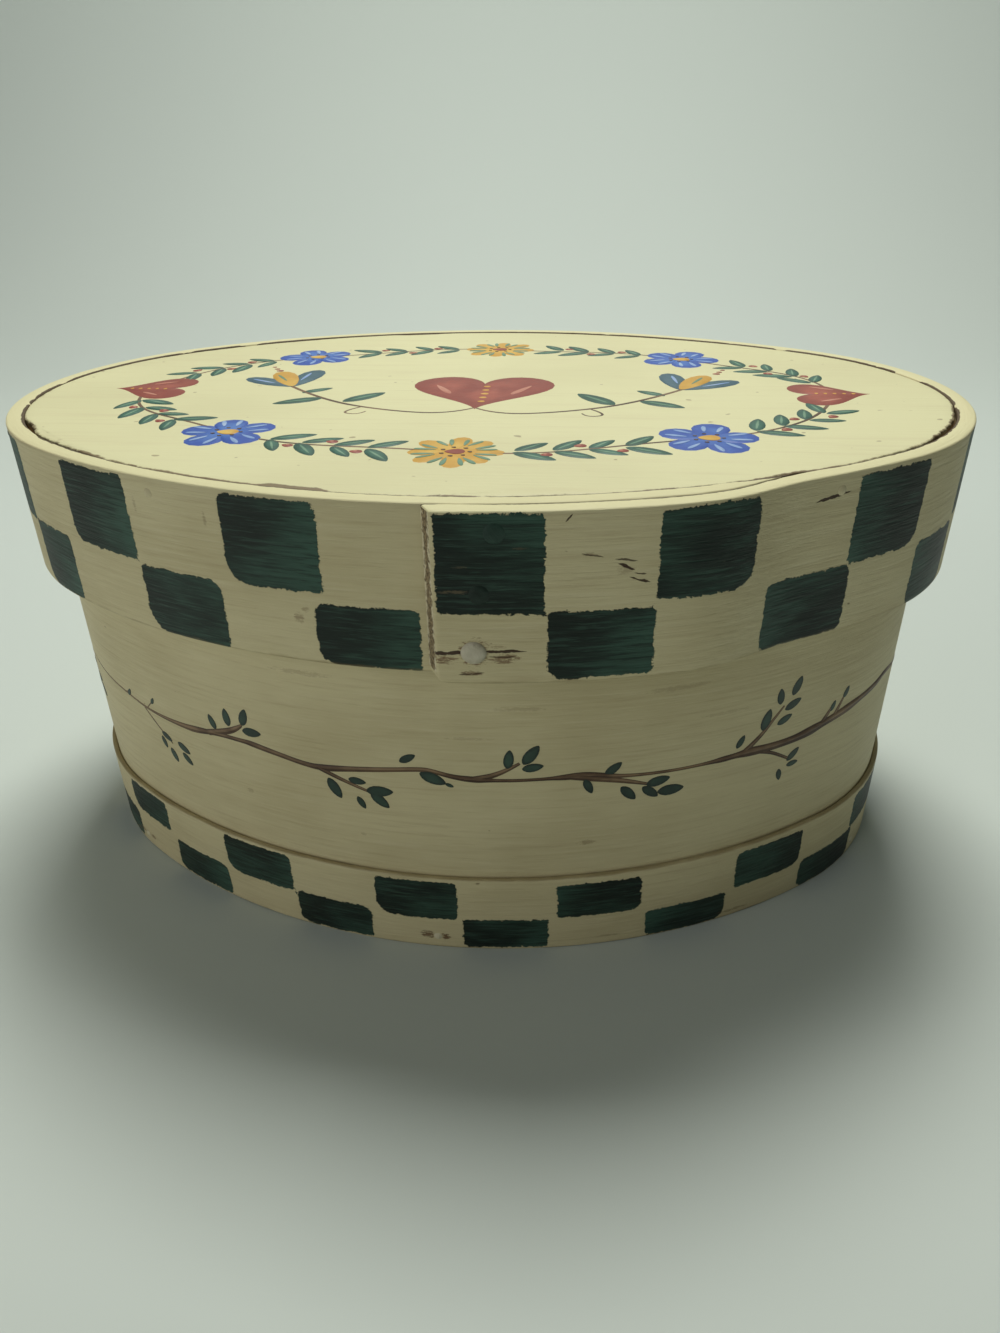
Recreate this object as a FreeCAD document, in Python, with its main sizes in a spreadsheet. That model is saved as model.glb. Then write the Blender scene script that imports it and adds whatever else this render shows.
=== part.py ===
"""An oval wooden box with a lift-off lid, in millimetres.

Bent strips close round two oval boards. The box is a tall strip round the base board with a thin
hoop round its foot, and the lid is a short strip round the top board, lapped and tacked in front.
+Z is up, the front faces -Y, and the origin is the middle of the footprint on the ground.
"""
import FreeCAD, Part
import math
import os
import Sketcher

os.makedirs("parts", exist_ok=True)
doc = FreeCAD.newDocument("oval_box")

# Driving sizes, in millimetres unless the name ends in count, share or shares
SIZES = {
    # The oval, over the lid strip where it is one layer thick
    "lid_length": 220.0,
    "lid_width": 154.0,
    "end_radius_share": 0.78,
    # The lid
    "lid_strip_thickness": 3.8,
    "lid_strip_height": 32.9,
    "lid_board_thickness": 6.5,
    "lid_lap_length": 42.0,
    "lid_feather_length": 27.0,
    "lid_end_bevel": 2.2,
    "lid_clearance": 1.6,
    "rim_gap": 0.3,
    # The box
    "wall_thickness": 3.2,
    "wall_height": 101.3,
    "base_board_thickness": 6.5,
    "wall_scarf_length": 30.0,
    # The hoop round the foot
    "hoop_thickness": 1.2,
    "hoop_height": 20.8,
    "hoop_scarf_length": 20.0,
    # Fits and edges
    "board_gap": 0.25,
    "glue_gap": 0.15,
    "nail_gap": 0.05,
    "board_edge_round": 0.8,
    "cut_overrun": 3.0,
    # Tacks through the lid's lap
    "tack_head_radius": 2.3,
    "tack_head_height": 0.8,
    "tack_shank_radius": 0.65,
    "lap_tack_length": 8.4,
    "top_tack_across": 10.8,
    "top_tack_drop": 3.7,
    "middle_tack_across": 8.1,
    "middle_tack_drop": 15.0,
    "bottom_tack_across": 6.7,
    "bottom_tack_drop": 26.3,
    # Tacks through the wall's scarf at the back
    "scarf_tack_length": 3.9,
    "scarf_tack_count": 4,
    "lowest_scarf_tack_height": 30.0,
    "scarf_tack_spacing": 17.0,
    # Brads through the strips into the boards
    "brad_head_radius": 0.95,
    "brad_head_height": 0.25,
    "brad_shank_radius": 0.6,
    "brad_length": 13.0,
    "lap_brad_clearance": 2.5,
    # Short brads that close the hoop at the back
    "hoop_brad_length": 3.6,
    "hoop_brad_count": 2,
}

# Where the brads were set by eye: the lid's as shares of the single layer's run, from just past the
# lap round to its bevelled end, and the base's as shares of the way round from the front's middle
LID_BRAD_SHARES = (0.000, 0.125, 0.257, 0.389, 0.515, 0.647, 0.773, 0.892)
BASE_BRAD_SHARES = (0.190, 0.345, 0.510, 0.675, 0.837, 0.992)
BACK_SHARE = 0.5

sheet = doc.addObject("Spreadsheet::Sheet", "Sizes")
for row, (alias, value) in enumerate(SIZES.items(), start=1):
    sheet.set(f"A{row}", alias.replace("_", " "))
    sheet.set(f"B{row}", str(value))
    sheet.setAlias(f"B{row}", alias)

# Worked sizes: a second sheet of formulas over the driving ones
WORKED = {
    "half_length": "Sizes.lid_length / 2",
    "half_width": "Sizes.lid_width / 2",
    "end_radius": "half_width * Sizes.end_radius_share",
    "end_centre": "half_length - end_radius",
    "side_centre": "(end_centre^2 - (half_width - end_radius)^2) / (2 * (half_width - end_radius))",
    "side_radius": "half_width + side_centre",
    # How far inside the lid's outer oval each surface lies
    "lid_inside": "Sizes.lid_strip_thickness",
    "lid_board_edge": "lid_inside + Sizes.board_gap",
    "wall_outside": "lid_inside + Sizes.lid_clearance",
    "wall_inside": "wall_outside + Sizes.wall_thickness",
    "base_board_edge": "wall_inside + Sizes.board_gap",
    "hoop_inside": "wall_outside - Sizes.glue_gap",
    "hoop_outside": "hoop_inside - Sizes.hoop_thickness",
    # Radii about the middle of the front curve, at the lid's lap
    "lap_root_radius": "side_radius - Sizes.lid_strip_thickness / 2",
    "lap_seat_radius": "side_radius + Sizes.glue_gap",
    "lap_outer_radius": "lap_seat_radius + Sizes.lid_strip_thickness",
    "feather_root_radius": "side_radius - Sizes.lid_strip_thickness - Sizes.glue_gap",
    "lap_end": "Sizes.lid_lap_length + Sizes.lid_feather_length",
    # Heights
    "lid_board_floor": "Sizes.wall_height + Sizes.rim_gap",
    "lid_top": "lid_board_floor + Sizes.lid_board_thickness",
    "lid_strip_floor": "lid_top - Sizes.lid_strip_height",
    # The arcs of the two scarf joints: radius, sideways shift and depth of their centres
    "wall_scarf_radius": "side_radius - wall_inside + Sizes.wall_thickness / 2",
    "wall_scarf_shift": "Sizes.wall_thickness * wall_scarf_radius / Sizes.wall_scarf_length",
    "wall_scarf_depth": "side_centre - wall_scarf_radius + sqrt(wall_scarf_radius^2 - wall_scarf_shift^2)",
    "hoop_scarf_radius": "side_radius - hoop_inside + Sizes.hoop_thickness / 2",
    "hoop_scarf_shift": "Sizes.hoop_thickness * hoop_scarf_radius / Sizes.hoop_scarf_length",
    "hoop_scarf_depth": "side_centre - hoop_scarf_radius + sqrt(hoop_scarf_radius^2 - hoop_scarf_shift^2)",
}
worked_sheet = doc.addObject("Spreadsheet::Sheet", "Worked")
for row, (alias, formula) in enumerate(WORKED.items(), start=1):
    worked_sheet.set(f"A{row}", alias.replace("_", " "))
    worked_sheet.set(f"B{row}", "=" + formula)
    worked_sheet.setAlias(f"B{row}", alias)
doc.recompute()


def size(alias):
    """A driving size as a number."""
    return float(getattr(sheet, alias))


def worked(alias):
    """A worked size as a number."""
    return float(getattr(worked_sheet, alias))


def body_plane(body, role):
    """One of a body's own origin planes."""
    return next(plane for plane in body.Origin.OriginFeatures if plane.Role == role)


def new_body(name, floor=None):
    """A body whose floor height is bound to a size."""
    body = doc.addObject("PartDesign::Body", name)
    body.Label = name
    if floor:
        body.setExpression(".Placement.Base.z", floor)
    return body


def new_sketch(body, name, role="XY_Plane"):
    """A sketch on one of the body's own planes."""
    sketch = body.newObject("Sketcher::SketchObject", name)
    sketch.AttachmentSupport = (body_plane(body, role), "")
    sketch.MapMode = "FlatFace"
    return sketch


def limit(sketch, kind, *where):
    """Add a geometric constraint."""
    return sketch.addConstraint(Sketcher.Constraint(kind, *where))


def bind(sketch, kind, where, value, expression):
    """Add a dimension and bind it to the sheets."""
    index = sketch.addConstraint(Sketcher.Constraint(kind, *where, value))
    sketch.setExpression(f"Constraints[{index}]", expression)
    return index


def flat_arc(centre_x, centre_y, radius, start, end):
    """An arc in a sketch, from one angle to another, counterclockwise."""
    centre = FreeCAD.Vector(centre_x, centre_y, 0)
    circle = Part.Circle(centre, FreeCAD.Vector(0, 0, 1), radius)
    return Part.ArcOfCircle(circle, start, end)


def polar(radius, angle):
    """A flat point at a radius and an angle."""
    return FreeCAD.Vector(radius * math.cos(angle), radius * math.sin(angle), 0)


# A sketch's own numbers for the points of a curve and for its two axes
START, END, CENTRE = range(1, 4)
X_AXIS, Y_AXIS = range(-1, -3, -1)
ORIGIN = (X_AXIS, START)
SQUARE = math.pi / 2


def add_oval(sketch, inset_expression, inset):
    """Four tangent arcs, a given distance inside the lid's outer oval."""
    across = worked("end_centre")
    drop = worked("side_centre")
    turn = math.atan2(drop, across)
    end_radius = worked("end_radius") - inset
    side_radius = worked("side_radius") - inset
    right = sketch.addGeometry(flat_arc(across, 0, end_radius, -turn, turn))
    back = sketch.addGeometry(flat_arc(0, -drop, side_radius, turn, math.pi - turn))
    left = sketch.addGeometry(flat_arc(-across, 0, end_radius, math.pi - turn, math.pi + turn))
    front = sketch.addGeometry(flat_arc(0, drop, side_radius, math.pi + turn, 2 * math.pi - turn))
    arcs = (right, back, left, front)
    for here, there in zip(arcs, arcs[1:] + arcs[:1]):
        limit(sketch, "Tangent", here, END, there, START)
    limit(sketch, "PointOnObject", right, CENTRE, X_AXIS)
    limit(sketch, "PointOnObject", back, CENTRE, Y_AXIS)
    limit(sketch, "Symmetric", right, CENTRE, left, CENTRE, *ORIGIN)
    limit(sketch, "Equal", back, front)
    bind(sketch, "DistanceX", (*ORIGIN, right, CENTRE), across, "Worked.end_centre")
    bind(sketch, "DistanceY", (back, CENTRE, *ORIGIN), drop, "Worked.side_centre")
    bind(sketch, "Radius", (right,), end_radius, f"Worked.end_radius - ({inset_expression})")


def add_pad(body, sketch, name, height_expression):
    """Raise a sketch to a bound height."""
    pad = body.newObject("PartDesign::Pad", name)
    pad.Profile = sketch
    pad.setExpression("Length", height_expression)
    sketch.Visibility = False
    body.Tip = pad
    doc.recompute()
    return pad


def add_through_cut(body, sketch, name):
    """Cut a sketch through the whole height, and make sure that it takes something away."""
    before = body.Shape.Volume
    cut = body.newObject("PartDesign::Pocket", name)
    cut.Profile = sketch
    cut.Type = "ThroughAll"
    cut.Midplane = True
    sketch.Visibility = False
    body.Tip = cut
    doc.recompute()
    if not body.Shape.Volume < before:
        raise RuntimeError(f"{name} cuts nothing")
    return cut


def edges_at(shape, height):
    """Names of the edges that lie flat at one height."""
    names = []
    for number, edge in enumerate(shape.Edges, start=1):
        box = edge.BoundBox
        if abs(box.ZMin - height) < Part.Precision.confusion() and box.ZLength < Part.Precision.confusion():
            names.append(f"Edge{number}")
    return names


def round_edges(body, name, height, radius_expression):
    """Round the edges that lie at one height of the body."""
    base = body.Tip
    rounding = body.newObject("PartDesign::Fillet", name)
    rounding.Base = (base, edges_at(base.Shape, height))
    rounding.setExpression("Radius", radius_expression)
    base.Visibility = False
    body.Tip = rounding
    doc.recompute()
    return rounding


def oval_strip(name, outside, inside, height_expression, floor=None):
    """A closed strip between two ovals."""
    body = new_body(name, floor)
    sketch = new_sketch(body, name + "_plan")
    add_oval(sketch, f"Worked.{outside}" if outside else "0", worked(outside) if outside else 0)
    add_oval(sketch, f"Worked.{inside}", worked(inside))
    add_pad(body, sketch, name + "_height", height_expression)
    return body


def oval_board(name, edge, thickness, floor=None):
    """A flat oval board."""
    body = new_body(name, floor)
    sketch = new_sketch(body, name + "_plan")
    add_oval(sketch, f"Worked.{edge}", worked(edge))
    add_pad(body, sketch, name + "_height", f"Sizes.{thickness}")
    return body


def add_scarf(body, word):
    """The glue line where a strip's two feathered ends meet in the middle of the back: the strip's
    own curve, tilted about that middle, so that it comes out of the strip on the outside at one end
    and on the inside at the other."""
    sketch = new_sketch(body, word + "_scarf_plan")
    middle = worked(word + "_scarf_radius")
    shift = worked(word + "_scarf_shift")
    depth = worked(word + "_scarf_depth")
    reach = size(word + "_scarf_length") / 2 + size("cut_overrun")
    gap = size("glue_gap")
    arcs = []
    corners = []
    for side, sign in ((1, "+"), (-1, "-")):
        radius = middle + side * gap / 2
        turns = (math.acos((reach - shift) / radius), math.pi - math.acos((reach + shift) / radius))
        arc = sketch.addGeometry(flat_arc(shift, -depth, radius, *turns))
        bind(sketch, "Radius", (arc,), radius,
             f"Worked.{word}_scarf_radius {sign} Sizes.glue_gap / 2")
        arcs.append(arc)
        corners.append([polar(radius, turn) + FreeCAD.Vector(shift, -depth, 0) for turn in turns])
    outer, inner = arcs
    limit(sketch, "Coincident", outer, CENTRE, inner, CENTRE)
    bind(sketch, "DistanceX", (*ORIGIN, outer, CENTRE), shift, f"Worked.{word}_scarf_shift")
    bind(sketch, "DistanceY", (outer, CENTRE, *ORIGIN), depth, f"Worked.{word}_scarf_depth")
    for point, outer_corner, inner_corner in zip((START, END), *corners):
        cap = sketch.addGeometry(Part.LineSegment(outer_corner, inner_corner))
        limit(sketch, "Coincident", cap, START, outer, point)
        limit(sketch, "Coincident", cap, END, inner, point)
        limit(sketch, "Vertical", cap)
    half_run = f"Sizes.{word}_scarf_length / 2 + Sizes.cut_overrun"
    bind(sketch, "DistanceX", (*ORIGIN, outer, START), reach, half_run)
    bind(sketch, "DistanceX", (outer, END, *ORIGIN), reach, half_run)
    return add_through_cut(body, sketch, word + "_scarf")


def add_lid_lap(body):
    """The lid strip's outer end: it starts at a bevel in the middle of the front, lies over the
    strip's inner end, and comes down to the single layer where that end is feathered away."""
    sketch = new_sketch(body, "lid_lap_plan")
    sketch.setExpression(".AttachmentOffset.Base.y", "Worked.side_centre")
    outer_radius = worked("lap_outer_radius")
    single_radius = worked("side_radius")
    root_radius = worked("lap_root_radius")
    lap = size("lid_lap_length")
    lap_end = worked("lap_end")
    bevel = size("lid_end_bevel")
    start_turn = math.asin(lap / outer_radius)
    end_turn = math.asin(lap_end / single_radius)
    # Two equal arcs bend the outer layer in and out again. Their radius solves a quadratic.
    cosine = math.cos(end_turn - start_turn)
    square = 2 * (1 - cosine)
    linear = 2 * (outer_radius - single_radius) * (1 + cosine)
    constant = outer_radius**2 + single_radius**2 - 2 * outer_radius * single_radius * cosine
    bend = (math.sqrt(linear**2 + 4 * square * constant) - linear) / (2 * square)
    first_centre = polar(outer_radius - bend, start_turn - SQUARE)
    second_centre = polar(single_radius + bend, end_turn - SQUARE)
    crossing = second_centre - first_centre
    meeting_turn = math.atan2(crossing.y, crossing.x)

    layer = sketch.addGeometry(flat_arc(0, 0, outer_radius, -SQUARE, start_turn - SQUARE))
    bend_in = sketch.addGeometry(
        flat_arc(first_centre.x, first_centre.y, bend, start_turn - SQUARE, meeting_turn))
    bend_out = sketch.addGeometry(
        flat_arc(second_centre.x, second_centre.y, bend, end_turn + SQUARE, meeting_turn + math.pi))
    foot = sketch.addGeometry(Part.LineSegment(polar(single_radius, end_turn - SQUARE),
                                               polar(root_radius, end_turn - SQUARE)))
    bevel_turn = -math.asin(bevel / root_radius) - SQUARE
    root = sketch.addGeometry(flat_arc(0, 0, root_radius, bevel_turn, end_turn - SQUARE))
    end_face = sketch.addGeometry(Part.LineSegment(polar(root_radius, bevel_turn),
                                                   polar(outer_radius, -SQUARE)))
    limit(sketch, "Coincident", layer, CENTRE, *ORIGIN)
    limit(sketch, "Coincident", root, CENTRE, *ORIGIN)
    limit(sketch, "Tangent", layer, END, bend_in, START)
    limit(sketch, "Tangent", bend_in, END, bend_out, END)
    limit(sketch, "Perpendicular", bend_out, START, foot, START)
    limit(sketch, "Coincident", foot, END, root, END)
    limit(sketch, "Coincident", root, START, end_face, START)
    limit(sketch, "Coincident", end_face, END, layer, START)
    limit(sketch, "Equal", bend_in, bend_out)
    limit(sketch, "PointOnObject", layer, START, Y_AXIS)
    limit(sketch, "PointOnObject", *ORIGIN, foot)
    bind(sketch, "Radius", (layer,), outer_radius, "Worked.lap_outer_radius")
    bind(sketch, "Radius", (root,), root_radius, "Worked.lap_root_radius")
    bind(sketch, "DistanceX", (*ORIGIN, layer, END), lap, "Sizes.lid_lap_length")
    bind(sketch, "DistanceX", (*ORIGIN, foot, START), lap_end, "Worked.lap_end")
    bind(sketch, "Distance", (*ORIGIN, foot, START), single_radius, "Worked.side_radius")
    bind(sketch, "DistanceX", (root, START, *ORIGIN), bevel, "Sizes.lid_end_bevel")
    return add_pad(body, sketch, "lid_lap", "Sizes.lid_strip_height")


def add_lap_glue_line(body):
    """The line between the lap's two layers, slanting in where the inner layer is feathered."""
    sketch = new_sketch(body, "lap_glue_plan")
    sketch.setExpression(".AttachmentOffset.Base.y", "Worked.side_centre")
    inner_radius = worked("side_radius")
    outer_radius = worked("lap_seat_radius")
    tip_radius = worked("feather_root_radius")
    lap = size("lid_lap_length")
    lap_end = worked("lap_end")
    lead = size("lid_end_bevel") + size("cut_overrun")
    turns = {}
    arcs = []
    for radius, expression in ((inner_radius, "Worked.side_radius"),
                               (outer_radius, "Worked.lap_seat_radius")):
        turns[radius] = (-math.asin(lead / radius) - SQUARE, math.asin(lap / radius) - SQUARE)
        arc = sketch.addGeometry(flat_arc(0, 0, radius, *turns[radius]))
        limit(sketch, "Coincident", arc, CENTRE, *ORIGIN)
        bind(sketch, "Radius", (arc,), radius, expression)
        bind(sketch, "DistanceX", (arc, START, *ORIGIN), lead,
             "Sizes.lid_end_bevel + Sizes.cut_overrun")
        bind(sketch, "DistanceX", (*ORIGIN, arc, END), lap, "Sizes.lid_lap_length")
        arcs.append(arc)
    inner, outer = arcs
    mouth = sketch.addGeometry(Part.LineSegment(polar(inner_radius, turns[inner_radius][0]),
                                                polar(outer_radius, turns[outer_radius][0])))
    # The slope is the lap's own curve turned inward about a moved centre
    outer_bend = polar(outer_radius, turns[outer_radius][1])
    inner_bend = polar(inner_radius, turns[inner_radius][1])
    outer_tip = polar(tip_radius, math.asin(lap_end / tip_radius) - SQUARE)
    chord = outer_tip - outer_bend
    height = math.sqrt(outer_radius**2 - (chord.Length / 2)**2)
    inward = FreeCAD.Vector(-chord.y, chord.x, 0).normalize()
    slope_centre = (outer_bend + outer_tip) / 2 + inward * height
    inner_slope_radius = (inner_bend - slope_centre).Length
    slope_end = math.atan2(outer_tip.y - slope_centre.y, outer_tip.x - slope_centre.x)
    slopes = []
    for radius, bend in ((outer_radius, outer_bend), (inner_slope_radius, inner_bend)):
        slope_start = math.atan2(bend.y - slope_centre.y, bend.x - slope_centre.x)
        slopes.append(sketch.addGeometry(
            flat_arc(slope_centre.x, slope_centre.y, radius, slope_start, slope_end)))
    outer_slope, inner_slope = slopes
    inner_tip = slope_centre + polar(inner_slope_radius, slope_end)
    tip = sketch.addGeometry(Part.LineSegment(outer_tip, inner_tip))
    limit(sketch, "Coincident", mouth, START, inner, START)
    limit(sketch, "Coincident", mouth, END, outer, START)
    limit(sketch, "Coincident", outer_slope, START, outer, END)
    limit(sketch, "Coincident", inner_slope, START, inner, END)
    limit(sketch, "Coincident", tip, START, outer_slope, END)
    limit(sketch, "Coincident", tip, END, inner_slope, END)
    limit(sketch, "Coincident", outer_slope, CENTRE, inner_slope, CENTRE)
    limit(sketch, "Perpendicular", tip, outer_slope)
    bind(sketch, "Radius", (outer_slope,), outer_radius, "Worked.lap_seat_radius")
    bind(sketch, "DistanceX", (*ORIGIN, tip, START), lap_end, "Worked.lap_end")
    bind(sketch, "Distance", (*ORIGIN, tip, START), tip_radius, "Worked.feather_root_radius")
    return add_through_cut(body, sketch, "lap_glue_line")


def nail_shape(name, head_radius, head_height, shank_radius, length):
    """One turned nail that points down: a domed head above zero and a straight shank below it."""
    body = new_body(name)
    sketch = new_sketch(body, name + "_profile", "XZ_Plane")
    head = size(head_radius)
    dome = size(head_height)
    shank = size(shank_radius)
    depth = size(length)
    dome_radius = (head**2 + dome**2) / (2 * dome)
    rim_turn = math.asin((dome_radius - dome) / dome_radius)
    top = sketch.addGeometry(flat_arc(0, dome - dome_radius, dome_radius, rim_turn, SQUARE))
    corners = [FreeCAD.Vector(head, 0, 0), FreeCAD.Vector(shank, 0, 0),
               FreeCAD.Vector(shank, -depth, 0), FreeCAD.Vector(0, -depth, 0),
               FreeCAD.Vector(0, dome, 0)]
    lines = [sketch.addGeometry(Part.LineSegment(here, there))
             for here, there in zip(corners, corners[1:])]
    under_head, side, tip, axis = lines
    limit(sketch, "Coincident", top, START, under_head, START)
    for here, there in zip(lines, lines[1:]):
        limit(sketch, "Coincident", here, END, there, START)
    limit(sketch, "Coincident", axis, END, top, END)
    limit(sketch, "PointOnObject", top, CENTRE, Y_AXIS)
    limit(sketch, "PointOnObject", axis, START, Y_AXIS)
    limit(sketch, "PointOnObject", axis, END, Y_AXIS)
    limit(sketch, "PointOnObject", under_head, START, X_AXIS)
    limit(sketch, "PointOnObject", under_head, END, X_AXIS)
    limit(sketch, "Vertical", side)
    limit(sketch, "Horizontal", tip)
    bind(sketch, "DistanceX", (*ORIGIN, under_head, START), head, f"Sizes.{head_radius}")
    bind(sketch, "DistanceX", (*ORIGIN, under_head, END), shank, f"Sizes.{shank_radius}")
    bind(sketch, "DistanceY", (*ORIGIN, axis, END), dome, f"Sizes.{head_height}")
    bind(sketch, "DistanceY", (axis, START, *ORIGIN), depth, f"Sizes.{length}")
    turning = body.newObject("PartDesign::Revolution", name + "_turning")
    turning.Profile = sketch
    turning.ReferenceAxis = (sketch, ["V_Axis"])
    turning.Angle = 360
    sketch.Visibility = False
    body.Tip = turning
    doc.recompute()
    return body


def facing(place, outward):
    """A placement at a point whose up direction looks outward."""
    return FreeCAD.Placement(place, FreeCAD.Rotation(FreeCAD.Vector(0, 0, 1), outward))


def copies(name, body, placements):
    """One node of like fasteners, each a solid of its own."""
    shapes = []
    for placement in placements:
        shape = body.Shape.copy()
        shape.Placement = placement
        shapes.append(shape)
    group = doc.addObject("Part::Feature", name)
    group.Label = name
    group.Shape = Part.makeCompound(shapes)
    return group


def drilled_holes(name, radius, length, placements):
    """The tool that drills the holes for a group of fasteners, from outside the surface inward."""
    overrun = size("cut_overrun")
    gap = size("nail_gap")
    drill = Part.makeCylinder(size(radius) + gap, size(length) + gap + overrun,
                              FreeCAD.Vector(0, 0, -size(length) - gap))
    shapes = []
    for placement in placements:
        shape = drill.copy()
        shape.Placement = placement
        shapes.append(shape)
    tool = doc.addObject("Part::Feature", name)
    tool.Shape = Part.makeCompound(shapes)
    tool.Visibility = False
    return tool


def drilled(label, blank, tools):
    """A blank with the holes of its fasteners taken out."""
    piece = blank
    for number, tool in enumerate(tools, start=1):
        cut = doc.addObject("Part::Cut", f"{label}_drilled_{number}")
        cut.Base = piece
        cut.Tool = tool
        doc.recompute()
        if not cut.Shape.Volume < piece.Shape.Volume:
            raise RuntimeError(f"{tool.Name} misses {label}")
        piece = cut
    if piece is not blank:
        blank.Label = label + "_blank"
    piece.Label = label
    return piece


def front_point(across, height, proud):
    """A point on the front curve and its outward direction; proud is the distance outside the
    lid's outer oval."""
    radius = worked("side_radius") + proud
    angle = math.asin(across / radius)
    outward = FreeCAD.Vector(math.sin(angle), -math.cos(angle), 0)
    return FreeCAD.Vector(0, worked("side_centre"), height) + outward * radius, outward


def oval_runs(inset):
    """The lengths round an oval of half its front curve and of a whole quarter."""
    side_turn = math.atan2(worked("end_centre"), worked("side_centre"))
    side_run = (worked("side_radius") - inset) * side_turn
    end_run = (worked("end_radius") - inset) * (SQUARE - side_turn)
    return side_run, side_run + end_run


def oval_point(share, height, inset):
    """A point at a share of the way round an oval, from the middle of the front and turning right,
    and its outward direction."""
    across = worked("end_centre")
    drop = worked("side_centre")
    side_radius = worked("side_radius") - inset
    end_radius = worked("end_radius") - inset
    side_run, quarter = oval_runs(inset)
    run = (share % 1) * 4 * quarter
    mirrored_x = run > 2 * quarter
    if mirrored_x:
        run = 4 * quarter - run
    mirrored_y = run > quarter
    if mirrored_y:
        run = 2 * quarter - run
    if run < side_run:
        angle = run / side_radius
        centre = FreeCAD.Vector(0, drop, height)
        radius = side_radius
    else:
        angle = math.atan2(across, drop) + (run - side_run) / end_radius
        centre = FreeCAD.Vector(across, 0, height)
        radius = end_radius
    outward = FreeCAD.Vector(math.sin(angle), -math.cos(angle), 0)
    place = centre + outward * radius
    flip = FreeCAD.Vector(-1 if mirrored_x else 1, -1 if mirrored_y else 1, 1)
    place = FreeCAD.Vector(place.x * flip.x, place.y * flip.y, place.z)
    outward = FreeCAD.Vector(outward.x * flip.x, outward.y * flip.y, 0)
    return place, outward


def lid_brad_placements():
    """Brads through the lid strip into the middle of the top board's edge, clear of the lap."""
    height = worked("lid_board_floor") + size("lid_board_thickness") / 2
    side_radius = worked("side_radius")
    side_run, quarter = oval_runs(0)
    lap_run = side_radius * math.asin(worked("lap_end") / side_radius)
    first = (lap_run + size("lap_brad_clearance")) / (4 * quarter)
    return [facing(*oval_point(first + share * (1 - first), height, 0))
            for share in LID_BRAD_SHARES]


def base_brad_placements():
    """Brads through hoop and wall into the middle of the base board's edge."""
    height = size("base_board_thickness") / 2
    inset = worked("hoop_outside")
    return [facing(*oval_point(share, height, inset)) for share in BASE_BRAD_SHARES]


def lap_tack_placements():
    """Three tacks in a leaning row behind the lap's end; the top one reaches the board."""
    proud = worked("lap_outer_radius") - worked("side_radius")
    placements = []
    for word in ("top", "middle", "bottom"):
        height = worked("lid_top") - size(word + "_tack_drop")
        placements.append(facing(*front_point(size(word + "_tack_across"), height, proud)))
    return placements


def scarf_tack_placements():
    """A column of tacks up the wall's scarf at the back."""
    heights = [size("lowest_scarf_tack_height") + number * size("scarf_tack_spacing")
               for number in range(int(size("scarf_tack_count")))]
    inset = worked("wall_outside")
    return [facing(*oval_point(BACK_SHARE, height, inset)) for height in heights]


def hoop_brad_placements():
    """Short brads that close the hoop's scarf at the back, evenly spread above the base board."""
    count = int(size("hoop_brad_count"))
    low = size("base_board_thickness")
    step = (size("hoop_height") - low) / (count + 1)
    inset = worked("hoop_outside")
    return [facing(*oval_point(BACK_SHARE, low + number * step, inset))
            for number in range(1, count + 1)]


# The boards
lid_board = oval_board("lid_top_board", "lid_board_edge", "lid_board_thickness",
                       "Worked.lid_board_floor")
round_edges(lid_board, "lid_board_round", size("lid_board_thickness"), "Sizes.board_edge_round")
base_board = oval_board("base_board", "base_board_edge", "base_board_thickness")

# The strips
lid_strip = oval_strip("lid_strip", None, "lid_inside", "Sizes.lid_strip_height",
                       "Worked.lid_strip_floor")
add_lid_lap(lid_strip)
add_lap_glue_line(lid_strip)
wall_strip = oval_strip("wall_strip", "wall_outside", "wall_inside", "Sizes.wall_height")
add_scarf(wall_strip, "wall")
foot_hoop = oval_strip("foot_hoop", "hoop_outside", "hoop_inside", "Sizes.hoop_height")
add_scarf(foot_hoop, "hoop")

# One nail of each kind
lap_tack = nail_shape("lap_tack", "tack_head_radius", "tack_head_height", "tack_shank_radius",
                      "lap_tack_length")
scarf_tack = nail_shape("scarf_tack", "tack_head_radius", "tack_head_height",
                        "tack_shank_radius", "scarf_tack_length")
brad = nail_shape("brad", "brad_head_radius", "brad_head_height", "brad_shank_radius",
                  "brad_length")
short_brad = nail_shape("short_brad", "brad_head_radius", "brad_head_height",
                        "brad_shank_radius", "hoop_brad_length")

# The fasteners in place, and the holes that they fill
FASTENERS = {
    "lid_lap_tacks": (lap_tack, lap_tack_placements(), "tack_shank_radius", "lap_tack_length"),
    "lid_board_brads": (brad, lid_brad_placements(), "brad_shank_radius", "brad_length"),
    "wall_scarf_tacks": (scarf_tack, scarf_tack_placements(), "tack_shank_radius",
                         "scarf_tack_length"),
    "base_brads": (brad, base_brad_placements(), "brad_shank_radius", "brad_length"),
    "hoop_joint_brads": (short_brad, hoop_brad_placements(), "brad_shank_radius",
                         "hoop_brad_length"),
}
groups = {}
holes = {}
for label, (nail, placements, shank_radius, length) in FASTENERS.items():
    groups[label] = copies(label, nail, placements)
    holes[label] = drilled_holes(label + "_holes", shank_radius, length, placements)
doc.recompute()

pieces = [
    drilled("lid_top_board", lid_board, [holes["lid_board_brads"], holes["lid_lap_tacks"]]),
    drilled("lid_strip", lid_strip, [holes["lid_board_brads"], holes["lid_lap_tacks"]]),
    drilled("wall_strip", wall_strip,
            [holes["wall_scarf_tacks"], holes["base_brads"], holes["hoop_joint_brads"]]),
    drilled("base_board", base_board, [holes["base_brads"]]),
    drilled("foot_hoop", foot_hoop, [holes["base_brads"], holes["hoop_joint_brads"]]),
    *groups.values(),
]
doc.recompute()

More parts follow.
